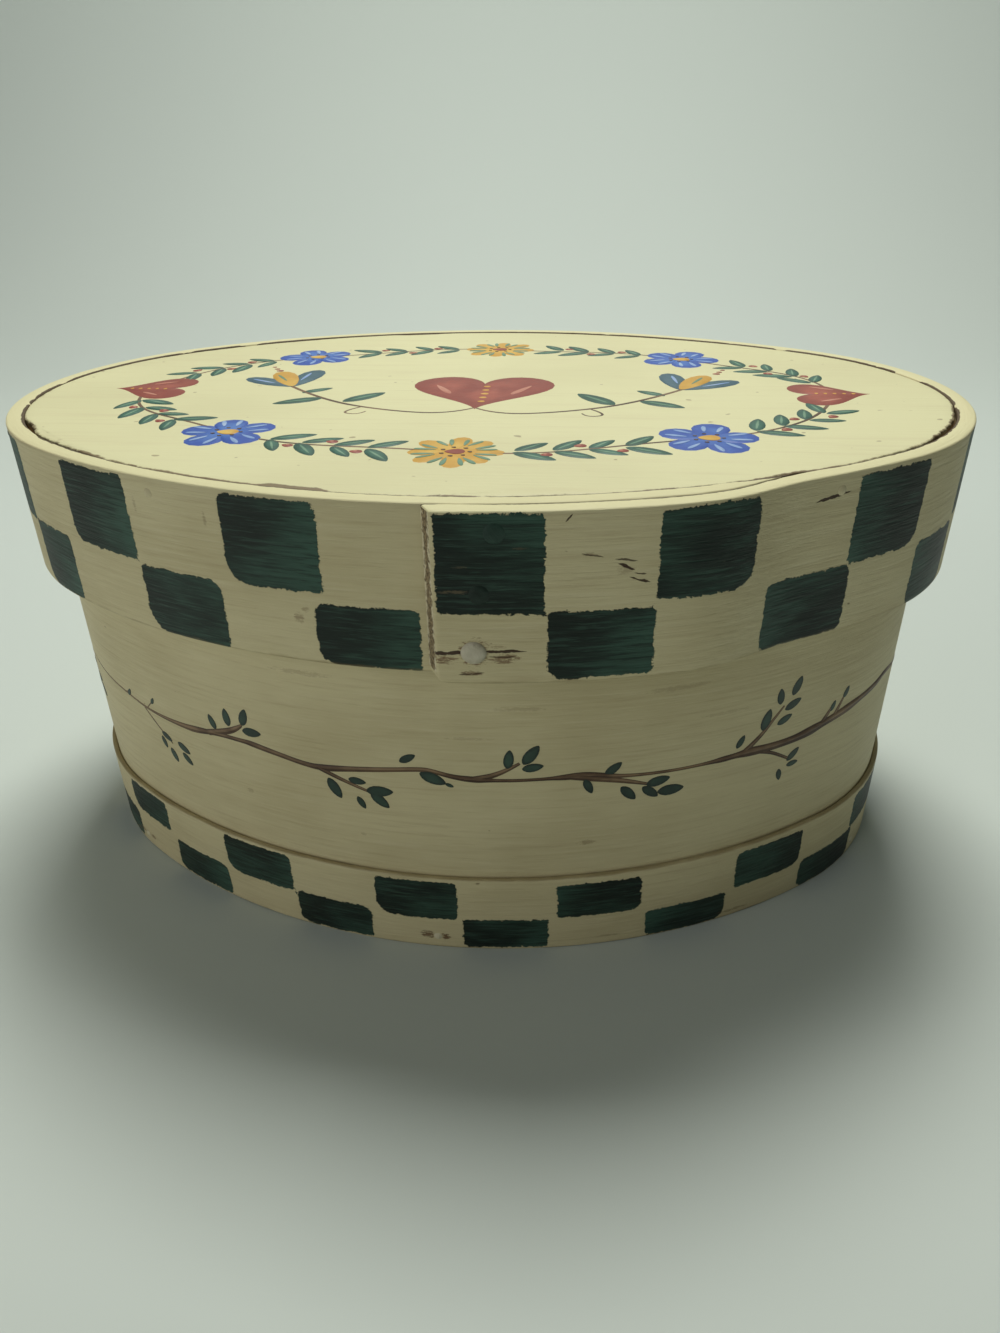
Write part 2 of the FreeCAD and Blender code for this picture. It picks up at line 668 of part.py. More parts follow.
for thing in doc.Objects:
    if "Invalid" in thing.State or "Error" in thing.State:
        raise RuntimeError(f"{thing.Label} failed: {thing.State}")
for piece in pieces:
    if piece.Shape.isNull() or not piece.Shape.isValid():
        raise RuntimeError(f"{piece.Label} has no valid shape")
for piece in pieces:
    print(piece.Label, len(piece.Shape.Solids), "solids,", round(piece.Shape.Volume), "mm3")
    piece.Shape.exportStep(f"parts/{piece.Label}.step")
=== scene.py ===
"""An oval bentwood box with a lift-off lid, in metres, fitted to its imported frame.

Each section makes one piece, or one group of like pieces, in the order in which the box is put
together: base, wall, foot hoop, painted border, lid, painted wreath, and then the room round it.
"""
import math
import random

import bmesh
import bpy
import numpy as np
from mathutils import Matrix, Vector


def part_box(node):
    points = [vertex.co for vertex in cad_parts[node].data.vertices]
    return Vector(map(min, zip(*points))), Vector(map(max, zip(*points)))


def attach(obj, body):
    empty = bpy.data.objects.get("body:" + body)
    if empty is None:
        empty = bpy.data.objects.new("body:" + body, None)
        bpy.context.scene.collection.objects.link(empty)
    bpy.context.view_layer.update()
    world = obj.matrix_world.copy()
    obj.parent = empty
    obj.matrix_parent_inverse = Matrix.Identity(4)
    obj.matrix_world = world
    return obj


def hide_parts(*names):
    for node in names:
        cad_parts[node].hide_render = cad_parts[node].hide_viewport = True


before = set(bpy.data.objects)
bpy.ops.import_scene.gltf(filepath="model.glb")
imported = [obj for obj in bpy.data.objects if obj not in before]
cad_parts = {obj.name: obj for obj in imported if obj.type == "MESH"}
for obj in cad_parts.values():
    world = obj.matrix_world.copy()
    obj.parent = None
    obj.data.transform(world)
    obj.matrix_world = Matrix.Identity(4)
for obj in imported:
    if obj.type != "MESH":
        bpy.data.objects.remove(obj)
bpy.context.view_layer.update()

# Base board
# A flat oval of pale softwood that closes the box inside the foot of its wall. It is sawn out,
# sanded and left bare on both faces, with its arrises rubbed round.
mm = 0.001
lid_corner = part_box("lid_strip")[1]
half_length = lid_corner.x
half_width = lid_corner.y
end_radius_share = 0.78
end_radius = half_width * end_radius_share
end_centre = half_length - end_radius
side_centre = (end_centre**2 - (half_width - end_radius) ** 2) / (2 * (half_width - end_radius))
side_radius = half_width + side_centre
side_turn = math.atan2(end_centre, side_centre)


def oval_length(inset):
    """The way round an oval that lies that far inside the lid's outer one."""
    side_run = (side_radius - inset) * side_turn
    return 4 * (side_run + (end_radius - inset) * (math.pi / 2 - side_turn))


def on_oval(run, inset):
    """Points at distances round an oval, from the middle of its front to the right, and the
    outward directions there."""
    side_run = (side_radius - inset) * side_turn
    whole = oval_length(inset)
    run = np.mod(run, whole)
    left = run > whole / 2
    run = np.where(left, whole - run, run)
    back = run > whole / 4
    run = np.where(back, whole / 2 - run, run)
    on_side = run < side_run
    turn = np.where(on_side, run / (side_radius - inset),
                    side_turn + (run - side_run) / (end_radius - inset))
    across = np.where(left, -1, 1)
    away = np.where(back, -1, 1)
    outward = np.column_stack((np.sin(turn) * across, -np.cos(turn) * away))
    centre = np.column_stack((np.where(on_side, 0, end_centre) * across,
                              np.where(on_side, side_centre, 0) * away))
    radius = np.where(on_side, side_radius, end_radius) - inset
    return centre + outward * radius[:, None], outward


def oval_board(runs, inset, gaps, floor, top, arris):
    """A board that fills an oval apart from a gap at each run, from floor to top, with rounded
    arrises. Its upper face carries the distance from its rim."""
    rim, outward = on_oval(runs, inset)
    outline = rim - outward * gaps[:, None]
    inner = on_oval(runs, inset + rim_band)[0]
    bm = bmesh.new()
    bmesh.ops.create_circle(bm, cap_ends=True, segments=len(outline), radius=1)
    inside = bm.verts.layers.float_vector.new("inside")
    for vert, (x, y), further_in in zip(bm.verts, outline, inner):
        vert.co = (x, y, floor)
        vert[inside] = (*further_in, top)
    raised = bmesh.ops.extrude_face_region(bm, geom=bm.faces[:])["geom"]
    bmesh.ops.translate(bm, vec=(0, 0, top - floor),
                        verts=[part for part in raised if isinstance(part, bmesh.types.BMVert)])
    rims = [edge for edge in bm.edges if edge.verts[0].co.z == edge.verts[1].co.z]
    bmesh.ops.bevel(bm, geom=rims, offset=arris, segments=3, profile=0.5, affect="EDGES",
                    material=-1)
    bmesh.ops.recalc_face_normals(bm, faces=bm.faces[:])
    upper = max(bm.faces, key=lambda face: face.calc_center_median().z)
    bmesh.ops.inset_region(bm, faces=[upper], thickness=arris, use_even_offset=True)
    from_rim = bm.verts.layers.float.new("from_rim")
    for vert in upper.verts:
        vert[from_rim] = rim_band
        vert.co = vert[inside]
    return bm


def dressed(name, bm, *finishes):
    """A finished piece, smooth apart from its sharp edges."""
    sharp_angle = math.radians(42)
    mesh = bm
    if isinstance(bm, bmesh.types.BMesh):
        mesh = bpy.data.meshes.new(name)
        bm.to_mesh(mesh)
        bm.free()
    for finish in finishes:
        mesh.materials.append(finish.material)
    mesh.shade_smooth()
    mesh.set_sharp_from_angle(angle=sharp_angle)
    piece = bpy.data.objects.new(name, mesh)
    bpy.context.scene.collection.objects.link(piece)
    return piece


class Field:
    """A value that varies over a surface. Arithmetic on it adds Math nodes to its finish."""

    def __init__(self, finish, socket):
        self.finish = finish
        self.socket = socket

    def math(self, operation, *others):
        values = dict(enumerate((self, *others)))
        return self.finish.node("ShaderNodeMath", {"operation": operation}, values)

    def __add__(self, other):
        return self.math("ADD", other)

    def __mul__(self, other):
        return self.math("MULTIPLY", other)

    def __sub__(self, other):
        return self.math("SUBTRACT", other)

    def __truediv__(self, other):
        return self.math("DIVIDE", other)

    def __rsub__(self, other):
        return self.finish.node("ShaderNodeMath", {"operation": "SUBTRACT"}, {0: other, 1: self})

    __radd__ = __add__
    __rmul__ = __mul__

    def larger(self, other):
        """The larger of two values."""
        return self.math("MAXIMUM", other)

    def rise(self, low, high):
        """0 below low and 1 above high, easing between them."""
        return self.finish.node("ShaderNodeMapRange", {"interpolation_type": "SMOOTHSTEP"},
                                {"Value": self, "From Min": low, "From Max": high})


class Finish:
    """A material and the nodes that feed its shader."""

    def __init__(self, name, **constants):
        self.material = bpy.data.materials.new(name)
        self.material.use_nodes = True
        self.tree = self.material.node_tree
        self.shader = self.tree.nodes["Principled BSDF"]
        for word, value in constants.items():
            self.shader.inputs[word.replace("_", " ").title()].default_value = value

    def node(self, kind, settings=None, values=None, result=0):
        """Add a node: its settings first, then the values or links of its sockets."""
        made = self.tree.nodes.new(kind)
        for word, value in (settings or {}).items():
            setattr(made, word, value)
        for word, value in (values or {}).items():
            self.feed(made.inputs[word], value)
        return Field(self, made.outputs[result])

    def feed(self, socket, value):
        """Link a varying value to a socket, or set a steady one on it."""
        if isinstance(value, Field):
            self.tree.links.new(value.socket, socket)
        elif socket.type == "RGBA":
            socket.default_value = (*value, 1)
        else:
            socket.default_value = value

    def object_place(self, turn=(0, 0, 0)):
        """The place on the object, turned if its grain needs it."""
        place = self.node("ShaderNodeTexCoord", result="Object")
        return self.node("ShaderNodeMapping", {}, {"Vector": place, "Rotation": turn})

    def mark(self, name, result="Fac"):
        """A value that the mesh carries."""
        return self.node("ShaderNodeAttribute", {"attribute_name": name}, result=result)

    def parts(self, place):
        """The three parts of a place."""
        made = self.node("ShaderNodeSeparateXYZ", {}, {0: place})
        return [Field(self, socket) for socket in made.socket.node.outputs]

    def noise(self, place, stretch, detail=2.0, roughness=0.5):
        """Noise with that many waves per metre along each part of the place."""
        stretched = self.node("ShaderNodeVectorMath", {"operation": "MULTIPLY"},
                              {0: place, 1: stretch})
        return self.node("ShaderNodeTexNoise", {}, {"Vector": stretched, "Scale": 1.0,
                                                    "Detail": detail, "Roughness": roughness})

    def blend(self, mask, under, over):
        """One colour over another, as far as the mask goes."""
        return self.node("ShaderNodeMix", {"data_type": "RGBA"}, {0: mask, 6: under, 7: over}, 2)

    def layers(self, colour, *coats):
        """A colour with more coats over it, each as far as its mask goes."""
        for mask, over in coats:
            colour = self.blend(mask, colour, over)
        return colour

    def finish(self, colour, roughness, relief):
        """Feed the shader. The relief is in metres."""
        self.feed(self.shader.inputs["Base Color"], colour)
        self.feed(self.shader.inputs["Roughness"], roughness)
        bump = self.node("ShaderNodeBump", {}, {"Height": relief, "Distance": 1.0})
        self.feed(self.shader.inputs["Normal"], bump)


def bare_wood(finish, place):
    """Pale straight-grained softwood along X: rings, fibres and handling dirt."""
    rings = finish.noise(place, (7, 90, 110), 2, 0.5)
    fibres = finish.noise(place, (30, 900, 1100), 3, 0.65)
    dirt = finish.noise(place, (22, 22, 22), 3, 0.6)
    colour = finish.layers((0.60, 0.44, 0.26), (rings.rise(0.35, 0.65), (0.49, 0.33, 0.175)),
                           (fibres.rise(0.5, 0.8) * 0.55, (0.33, 0.2, 0.095)),
                           (dirt.rise(0.5, 0.75) * 0.35, (0.30, 0.21, 0.12)))
    return colour, fibres * 0.15 + 0.62, fibres * 0.00009 + rings * 0.00006


board_low, board_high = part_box("base_board")
base_inset = half_length - board_high.x
board_steps = 480
base_arris = 0.5 * mm
rim_band = 2 * mm
base_runs = np.arange(board_steps) * oval_length(base_inset) / board_steps
no_gaps = np.zeros(board_steps)
base_wood = Finish("bare_board")
base_wood.finish(*bare_wood(base_wood, base_wood.object_place((math.pi / 2, 0, 0))))
base_board = dressed("base_board_wood",
                     oval_board(base_runs, base_inset, no_gaps, board_low.z, board_high.z,
                                base_arris), base_wood)
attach(base_board, "box")
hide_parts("base_board")

# Wall strip
# A tall thin strip, steamed and bent round the base board, with feathered ends glued at the back.
# Ivory paint is brushed on outside, up to just under the lid, and the rim and inside are bare.
wall_low, wall_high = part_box("wall_strip")
wall_inset = half_length - wall_high.x
wall_thickness = 3.2 * mm
wall_arris = 0.6 * mm
wall_scarf = 30 * mm
wall_step = 2 * mm
paint_under_lid = 4 * mm
glue_gap = 0.1 * mm
feather_tip = 0.12 * mm


def plank(start, end, low, high, thickness, arris, step, rows):
    """A flat strip on edge with rounded arrises: its run along X, its outer face at Y = 0, its
    inner face at its thickness, cut into steps along its run and rows across its outer face."""
    bm = bmesh.new()
    bmesh.ops.create_grid(bm, x_segments=1, y_segments=1, size=0.5)
    section = Matrix(((0, 0, 1, start), (thickness, 0, 0, thickness / 2),
                      (0, high - low, 0, (low + high) / 2), (0, 0, 0, 1)))
    bmesh.ops.transform(bm, matrix=section, verts=bm.verts[:])
    bmesh.ops.bevel(bm, geom=bm.verts[:], offset=arris, segments=3, profile=0.5,
                    affect="VERTICES", material=-1)
    outer = max(bm.edges, key=lambda edge: edge.calc_length() - edge.verts[0].co.y)
    bmesh.ops.subdivide_edges(bm, edges=[outer], cuts=rows - 1)
    bmesh.ops.delete(bm, geom=bm.faces[:], context="FACES_ONLY")
    bmesh.ops.spin(bm, geom=bm.verts[:] + bm.edges[:], cent=(0, 0, 0), axis=(0, 0, 1),
                   dvec=(end - start, 0, 0), angle=0, steps=1, use_merge=False)
    runs = [edge for edge in bm.edges if edge.calc_length() > (end - start) * 0.99]
    steps = round((end - start) / step)
    bmesh.ops.subdivide_edges(bm, edges=runs, cuts=steps - 1, use_grid_fill=True)
    ends = [edge for edge in bm.edges if edge.is_boundary]
    bmesh.ops.holes_fill(bm, edges=ends, sides=0)
    bmesh.ops.recalc_face_normals(bm, faces=bm.faces[:])
    return bm


def feather(bm, start, end, run, thickness):
    """Thin a strip's two ends so that the first can lie over the last."""
    for vert in bm.verts:
        over = (vert.co.x - start) / run
        under = (vert.co.x - end) / run + 1
        if over < 1:
            vert.co.y *= max(over, feather_tip / thickness)
        elif under > 0:
            top = min(under * thickness + glue_gap, thickness - feather_tip)
            vert.co.y = top + vert.co.y * (1 - top / thickness)


def ripple(bm, low, high, depth, waves, seed):
    """Take a strip's two long edges in by a little, unevenly, as a knife and a rasp leave them."""
    phases = random.Random(seed)
    turns = [(wave, phases.uniform(0, 2 * math.pi)) for wave in waves]
    for vert in bm.verts:
        sway = sum(math.sin(vert.co.x * wave + turn) for wave, turn in turns) / len(turns)
        share = (vert.co.z - low) / (high - low)
        vert.co.z += depth * (1 + sway) / 2 * (1 - share) - depth * (1 - sway) / 2 * share


def bend(name, bm, inset):
    """Wrap a flat mesh round an oval: X becomes the way round, Y the depth inside it, and Z stays
    the height. The mesh keeps its flat places, for its grain and its paint."""
    bmesh.ops.recalc_face_normals(bm, faces=bm.faces[:])
    mesh = bpy.data.meshes.new(name)
    bm.to_mesh(mesh)
    bm.free()
    flat = np.empty(len(mesh.vertices) * 3, np.float32)
    mesh.vertices.foreach_get("co", flat)
    mesh.attributes.new("flat", "FLOAT_VECTOR", "POINT").data.foreach_set("vector", flat)
    run, depth, height = flat.reshape(-1, 3).astype(float).T
    place, outward = on_oval(run, inset)
    bent = np.column_stack((place - outward * depth[:, None], height))
    mesh.vertices.foreach_set("co", bent.astype(np.float32).ravel())
    mesh.update()
    return mesh


def ivory_paint(finish, place):
    """Ivory paint brushed thinly along the grain: soft blotches, brush marks, raised grain, worn
    fibres and a few specks of dirt."""
    blotch = finish.noise(place, (24, 24, 40), 3, 0.55)
    brush = finish.noise(place, (24, 240, 300), 3, 0.6)
    grain = finish.noise(place, (48, 600, 1150), 4, 0.7)
    specks = finish.noise(place, (300, 500, 640), 1, 0.4)
    speck = specks.rise(0.80, 0.83)
    colour = finish.layers((0.69, 0.61, 0.37), (blotch.rise(0.35, 0.68), (0.61, 0.53, 0.31)),
                           (brush.rise(0.5, 0.8) * 0.3, (0.50, 0.41, 0.235)),
                           (grain.rise(0.50, 0.70) * 0.24, (0.40, 0.30, 0.16)),
                           ((1 - grain).rise(0.50, 0.70) * 0.3, (0.78, 0.70, 0.47)),
                           (speck * 0.65, (0.20, 0.12, 0.06)))
    relief = brush * 0.00014 + grain * 0.00030 - speck * 0.0001
    finish.shader.inputs["Specular IOR Level"].default_value = 0.3
    return colour, grain * 0.2 + 0.48, relief


def edge_darkening(finish, place, from_edge, width, strength):
    """A patchy band of brown along an edge, strongest at the edge."""
    patchy = finish.noise(place, (110, 300, 300), 3, 0.6)
    near = 1 - (from_edge + (patchy - 0.5) * (width * 2.2)).rise(0, width)
    return near * strength, (0.25, 0.175, 0.08)


def stains(finish, place, marks):
    """Streaky spots in the paint, each given by its run, height, half run, half height and
    strength, in millimetres."""
    run, _, up = finish.parts(place)
    streaks = finish.noise(place, (620, 400, 2300), 5, 0.85)
    ragged = streaks * 5 - 1.65
    whole = 0
    for at_run, at_height, half_run, half_height, strength in marks:
        across = (run - at_run * mm) / (half_run * mm)
        away = (up - at_height * mm) / (half_height * mm)
        whole = ((ragged - across * across - away * away).rise(0.2, 0.7) * strength).larger(whole)
    return whole


def cracks(finish, place, splits):
    """Thin wavering splits along the grain, each given by the run and height of its two ends, its
    width and its strength, in millimetres."""
    run, _, up = finish.parts(place)
    waver = finish.noise(place, (170, 170, 60), 4, 0.75)
    crumble = finish.noise(place, (900, 620, 300), 2, 0.6)
    whole = 0
    for run_from, height_from, run_to, height_to, width, strength in splits:
        share = (run - run_from * mm) / ((run_to - run_from) * mm)
        line = share * ((height_to - height_from) * mm) + height_from * mm
        off = (up - line + (waver - 0.5) * (1.1 * mm)).math("ABSOLUTE")
        taper = (share * (1 - share)).rise(0, 0.24)
        gap = taper * (crumble * 1.4 - 0.2) * (width * mm) - off
        whole = (gap.rise(-0.04 * mm, 0.04 * mm) * taper.rise(0, 0.06) * strength).larger(whole)
    return whole


wall_length = oval_length(wall_inset)
wall_start = -(wall_length + wall_scarf) / 2
wall_end = -wall_start
wall_plank = plank(wall_start, wall_end, wall_low.z, wall_high.z, wall_thickness, wall_arris,
                   wall_step, rows=12)
feather(wall_plank, wall_start, wall_end, wall_scarf, wall_thickness)
ripple(wall_plank, wall_low.z, wall_high.z, depth=0.2 * mm, waves=(23, 41, 67), seed=3)

painted_wall = Finish("painted_wall")
wall_place = painted_wall.mark("flat", "Vector")
_, wall_depth, wall_up = painted_wall.parts(wall_place)
wood_look = bare_wood(painted_wall, wall_place)
paint_look = ivory_paint(painted_wall, wall_place)
paint_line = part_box("lid_strip")[0].z + paint_under_lid
hairs = painted_wall.noise(wall_place, (160, 30, 30), 4, 0.7)
painted = (paint_line - wall_up + (hairs - 0.5) * (9 * mm)).rise(0, 0.5 * mm)
painted = painted * (wall_thickness * 0.6 - wall_depth).rise(0, 0.2 * mm)
wall_marks = [(28.5, 29.5, 2.4, 0.8, 0.55), (-47.5, 35, 1.3, 0.8, 0.35), (-20, 30, 0.9, 0.5, 0.35),
              (46, 66, 9, 0.8, 0.3), (14, 64, 7, 0.7, 0.3), (-30, 69, 8, 0.8, 0.3),
              (4, 57, 6, 0.5, 0.25), (58, 58, 8, 0.6, 0.25), (151, 61, 2.2, 0.9, 0.5),
              (-168, 38, 2.4, 1, 0.5), (228, 44, 1.6, 0.8, 0.5), (-110, 67, 9, 0.8, 0.35),
              (262, 30, 8, 0.7, 0.35)]
ivory = painted_wall.blend(stains(painted_wall, wall_place, wall_marks), paint_look[0],
                           (0.27, 0.19, 0.10))
wall_relief = painted * (paint_look[2] + 0.00008) + (1 - painted) * wood_look[2]
painted_wall.finish(painted_wall.blend(painted, wood_look[0], ivory),
                    painted * (paint_look[1] - wood_look[1]) + wood_look[1], wall_relief)
wall = dressed("wall_strip_bent", bend("wall_strip_bent", wall_plank, wall_inset), painted_wall)
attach(wall, "box")
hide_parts("wall_strip")

# Tacks through the wall's scarf
# Four small tacks with low domed heads, in a row up the joint at the back and painted over with
# the wall. The paint is rubbed through in spots, and the metal under it is dull brown.
tack_head_radius = 2.3 * mm
tack_dome = 0.75 * mm


def tack_head(bm, place, outward, seed):
    """A domed head, hammered a little flatter on one side, facing outward at a place."""
    dents = random.Random(seed)
    head = bmesh.new()
    profile = ((0, 1), (0.45, 0.97), (0.72, 0.88), (0.88, 0.66), (0.97, 0.34), (1, 0.05),
               (0.9, -0.4))
    rim = [head.verts.new((tack_head_radius * across, 0, tack_dome * up)) for across, up in profile]
    for here, there in zip(rim, rim[1:]):
        head.edges.new((here, there))
    bmesh.ops.spin(head, geom=head.verts[:] + head.edges[:], cent=(0, 0, 0), axis=(0, 0, 1),
                   angle=2 * math.pi, steps=28, use_merge=True)
    bmesh.ops.remove_doubles(head, verts=head.verts[:], dist=0.01 * mm)
    bmesh.ops.holes_fill(head, edges=[edge for edge in head.edges if edge.is_boundary], sides=0)
    flat_turn = dents.uniform(0, 2 * math.pi)
    for vert in head.verts:
        lean = math.cos(math.atan2(vert.co.y, vert.co.x) - flat_turn)
        radius = math.hypot(vert.co.x, vert.co.y) / tack_head_radius
        vert.co.z -= tack_dome * 0.14 * radius * (1 + lean) * (vert.co.z > 0)
        vert.co.x *= 1 + 0.03 * math.cos(2 * flat_turn)
    bmesh.ops.recalc_face_normals(head, faces=head.faces[:])
    turn = Vector(outward).to_track_quat("Z", "Y").to_matrix().to_4x4()
    bmesh.ops.transform(head, matrix=Matrix.Translation(place) @ turn, verts=head.verts[:])
    mesh = bpy.data.meshes.new("tack")
    head.to_mesh(mesh)
    head.free()
    bm.from_mesh(mesh)
    bpy.data.meshes.remove(mesh)


def tack_paint(name, under, over, worn):
    """Paint over dull metal, thick in places and rubbed through in others."""
    finish = Finish(name)
    finish.shader.inputs["Specular IOR Level"].default_value = 0.3
    place = finish.object_place()
    rubbed = finish.noise(place, (700, 700, 700), 3, 0.65)
    thick = finish.noise(place, (260, 260, 420), 2, 0.5)
    colour = finish.layers(under, (thick.rise(0.35, 0.65), over),
                           (rubbed.rise(0.56, 0.76) * 0.6, worn))
    finish.finish(colour, rubbed * -0.25 + 0.58, rubbed * 0.00016 + thick * 0.0001)
    return finish


back_tacks = bmesh.new()
scarf_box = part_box("wall_scarf_tacks")
scarf_count = 4
lowest_tack = scarf_box[0].z + tack_head_radius
tack_rise = (scarf_box[1].z - scarf_box[0].z - 2 * tack_head_radius) / (scarf_count - 1)
back_place = on_oval(np.array([wall_length / 2]), wall_inset)[0][0]
for number in range(scarf_count):
    back_tack_place = Vector((*back_place, lowest_tack + number * tack_rise))
    tack_head(back_tacks, back_tack_place, (0, 1, 0), seed=number)
scarf_paint = tack_paint("painted_back_tack", (0.55, 0.47, 0.32), (0.64, 0.57, 0.43),
                         (0.27, 0.21, 0.13))
scarf_tacks = dressed("wall_scarf_tack_heads", back_tacks, scarf_paint)
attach(scarf_tacks, "box")
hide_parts("wall_scarf_tacks")

# Foot hoop
# A thin low strip glued and bradded round the foot, feathered at the back like the wall. It is
# painted ivory with two rows of brushed green checks, and rubbed brown along both edges.
hoop_low, hoop_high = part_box("foot_hoop")
hoop_inset = half_length - hoop_high.x
hoop_thickness = 1.2 * mm
hoop_arris = 0.3 * mm
hoop_scarf = 20 * mm
hoop_length = oval_length(hoop_inset)
hoop_start = -(hoop_length + hoop_scarf) / 2
check_step = 1 * mm
check_margin = 5 * mm
worn_corners = ((3.5, 0.8, 1.5, 0.6), (0.8, 0.8, 1, 3.5), (2.2, 1.5, 0.6, 0.7), (0.6, 1.2, 1.8, 2.4))


def check_row(front, low, high, length, count, seed):
    """A row of checks: run from and to, height from and to, and the radii of the lower left, upper
    left, upper right and lower right corners, in millimetres. The front ones are given, and the
    rest fill the way round the back evenly, with a painter's small slips."""
    slips = random.Random(seed)
    first = front[-1][1]
    width = (length / mm + front[0][0] - first) / (2 * count + 1)
    row = list(front)
    for number in range(count):
        start = first + width * (2 * number + 1) + slips.uniform(-0.8, 0.8)
        row.append((start, start + width + slips.uniform(-0.9, 0.9), low + slips.uniform(-0.5, 0.5),
                    high + slips.uniform(-0.5, 0.5), slips.choice(worn_corners)))
    return row


def brush_checks(mesh, checks, thickness, length):
    """Give each point of a strip its distance inside the nearest check, and how far along that
    check's brush stroke it lies. The brush starts at a check's rounder side."""
    flat = np.empty(len(mesh.vertices) * 3, np.float32)
    mesh.attributes["flat"].data.foreach_get("vector", flat)
    run, depth, height = flat.reshape(-1, 3).astype(float).T
    inside = np.full(len(run), -check_margin)
    stroke = np.zeros(len(run))
    for start, end, low, high, corners in checks:
        across = np.mod(run - (start + end) / 2 * mm + length / 2, length) - length / 2
        up = height - (low + high) / 2 * mm
        lower_left, upper_left, upper_right, lower_right = corners
        corner = mm * np.where(across < 0, np.where(up < 0, lower_left, upper_left),
                               np.where(up < 0, lower_right, upper_right))
        past_end = np.abs(across) - (end - start) / 2 * mm + corner
        past_edge = np.abs(up) - (high - low) / 2 * mm + corner
        outside = np.hypot(np.maximum(past_end, 0), np.maximum(past_edge, 0))
        outside += np.minimum(np.maximum(past_end, past_edge), 0) - corner
        nearer = -outside > inside
        inside = np.where(nearer, -outside, inside)
        hand = 1 if lower_left > lower_right else -1
        stroke = np.where(nearer, across * hand / ((end - start) * mm) + 0.5, stroke)
    inside = np.where(depth > thickness / 2, -check_margin, inside)
    for name, values in (("check", inside), ("stroke", stroke)):
        mark = mesh.attributes.new(name, "FLOAT", "POINT")
        mark.data.foreach_set("value", values.astype(np.float32))


def green_checks(finish, place, under):
    """Dark green paint brushed along the grain over another finish: ragged at its edges, thinner
    towards the end of its stroke, with the raised grain dark under it."""
    colour, roughness, relief = under
    check = finish.mark("check")
    stroke = finish.mark("stroke")
    chunks = finish.noise(place, (330, 100, 330), 5, 0.8)
    teeth = finish.noise(place, (1200, 300, 700), 2, 0.6)
    hairs = finish.noise(place, (210, 900, 2400), 3, 0.65)
    zones = finish.noise(place, (48, 90, 80), 2, 0.5)
    ribs = finish.noise(place, (110, 900, 1600), 3, 0.64)
    ragged = check + (chunks - 0.5) * (2 * mm) + (hairs + teeth - 1) * (0.8 * mm)
    cover = ragged.rise(-0.05 * mm, 0.10 * mm)
    thin = (stroke * 0.6 + (zones - 0.5) * 2.2).rise(-0.1, 1.1)
    green = finish.layers((0.0070, 0.016, 0.0105), (thin, (0.042, 0.104, 0.074)),
                          (ribs.rise(0.49, 0.64) * 0.6, (0.006, 0.013, 0.009)),
                          ((1 - ribs).rise(0.50, 0.66) * 0.36, (0.058, 0.128, 0.094)),
                          (hairs.rise(0.74, 0.79) * 0.4, (0.30, 0.29, 0.19)))
    return (finish.blend(cover, colour, green), roughness - cover * 0.08,
            relief * (1 - cover * 0.3) + cover * (ribs * 0.00016 + 0.00007))


checked_hoop = Finish("painted_hoop")
hoop_place = checked_hoop.mark("flat", "Vector")
hoop_up = checked_hoop.parts(hoop_place)[2]
hoop_look = green_checks(checked_hoop, hoop_place, ivory_paint(checked_hoop, hoop_place))
hoop_marks = [(-98.5, 1.9, 3, 0.7, 0.6), (-6.9, 3.6, 2.2, 1.5, 0.9), (-2.7, 3.3, 1.3, 1.4, 0.95),
              (-95.4, 3.3, 2.3, 0.8, 0.7), (-89.6, 3.4, 1.4, 1, 0.7), (66, 1.8, 5, 0.5, 0.5),
              (34, 2.4, 4, 0.4, 0.3), (170, 3, 3, 0.7, 0.6), (-205, 12, 2.5, 0.6, 0.5)]
hoop_colour = checked_hoop.layers(
    hoop_look[0],
    edge_darkening(checked_hoop, hoop_place, hoop_up - hoop_low.z, width=0.6 * mm, strength=0.6),
    edge_darkening(checked_hoop, hoop_place, hoop_high.z - hoop_up, width=0.5 * mm, strength=0.45),
    (stains(checked_hoop, hoop_place, hoop_marks), (0.17, 0.095, 0.045)))
checked_hoop.finish(hoop_colour, *hoop_look[1:])

hoop_plank = plank(hoop_start, -hoop_start, hoop_low.z, hoop_high.z, hoop_thickness, hoop_arris,
                   check_step, rows=20)
feather(hoop_plank, hoop_start, -hoop_start, hoop_scarf, hoop_thickness)
ripple(hoop_plank, hoop_low.z, hoop_high.z, depth=0.25 * mm, waves=(29, 47, 83), seed=5)
hoop_mesh = bend("foot_hoop_bent", hoop_plank, hoop_inset)
hoop_upper = check_row([(-95.3, -78.8, 11.2, 20, (3, 0.8, 1, 0.8)),
                        (-58.2, -39.2, 9.3, 19.9, (3.5, 0.8, 1.6, 0.8)),
                        (-18.4, 0.2, 8.6, 19.6, (4, 0.8, 0.8, 1.2)),
                        (22.3, 41.5, 9.2, 18.9, (0.7, 0.6, 1.2, 2)),
                        (64.9, 84, 8.6, 19.2, (1.2, 1.5, 0.6, 2.6)),
                        (104, 124, 9.2, 19.6, (0.8, 1, 1, 3))],
                       low=9.4, high=19.6, length=hoop_length, count=8, seed=11)
hoop_lower = check_row([(-113, -95.3, 0.6, 9.6, (2.5, 0.8, 2, 0.6)),
                        (-77.2, -58.6, 0.6, 9.7, (2.5, 0.8, 2.5, 0.6)),
                        (-38.4, -19.7, 0.6, 9.8, (2.2, 1, 2.5, 0.5)),
                        (1.3, 20.5, 0.6, 9, (0.8, 1.2, 0.5, 0.6)),
                        (42.9, 62.9, 0.4, 8.2, (0.7, 1.5, 1, 2.5)),
                        (84.9, 105.5, 0.4, 9, (1.2, 1.6, 0.8, 2.4))],
                       low=0.6, high=9.4, length=hoop_length, count=8, seed=12)
brush_checks(hoop_mesh, hoop_upper + hoop_lower, hoop_thickness, hoop_length)
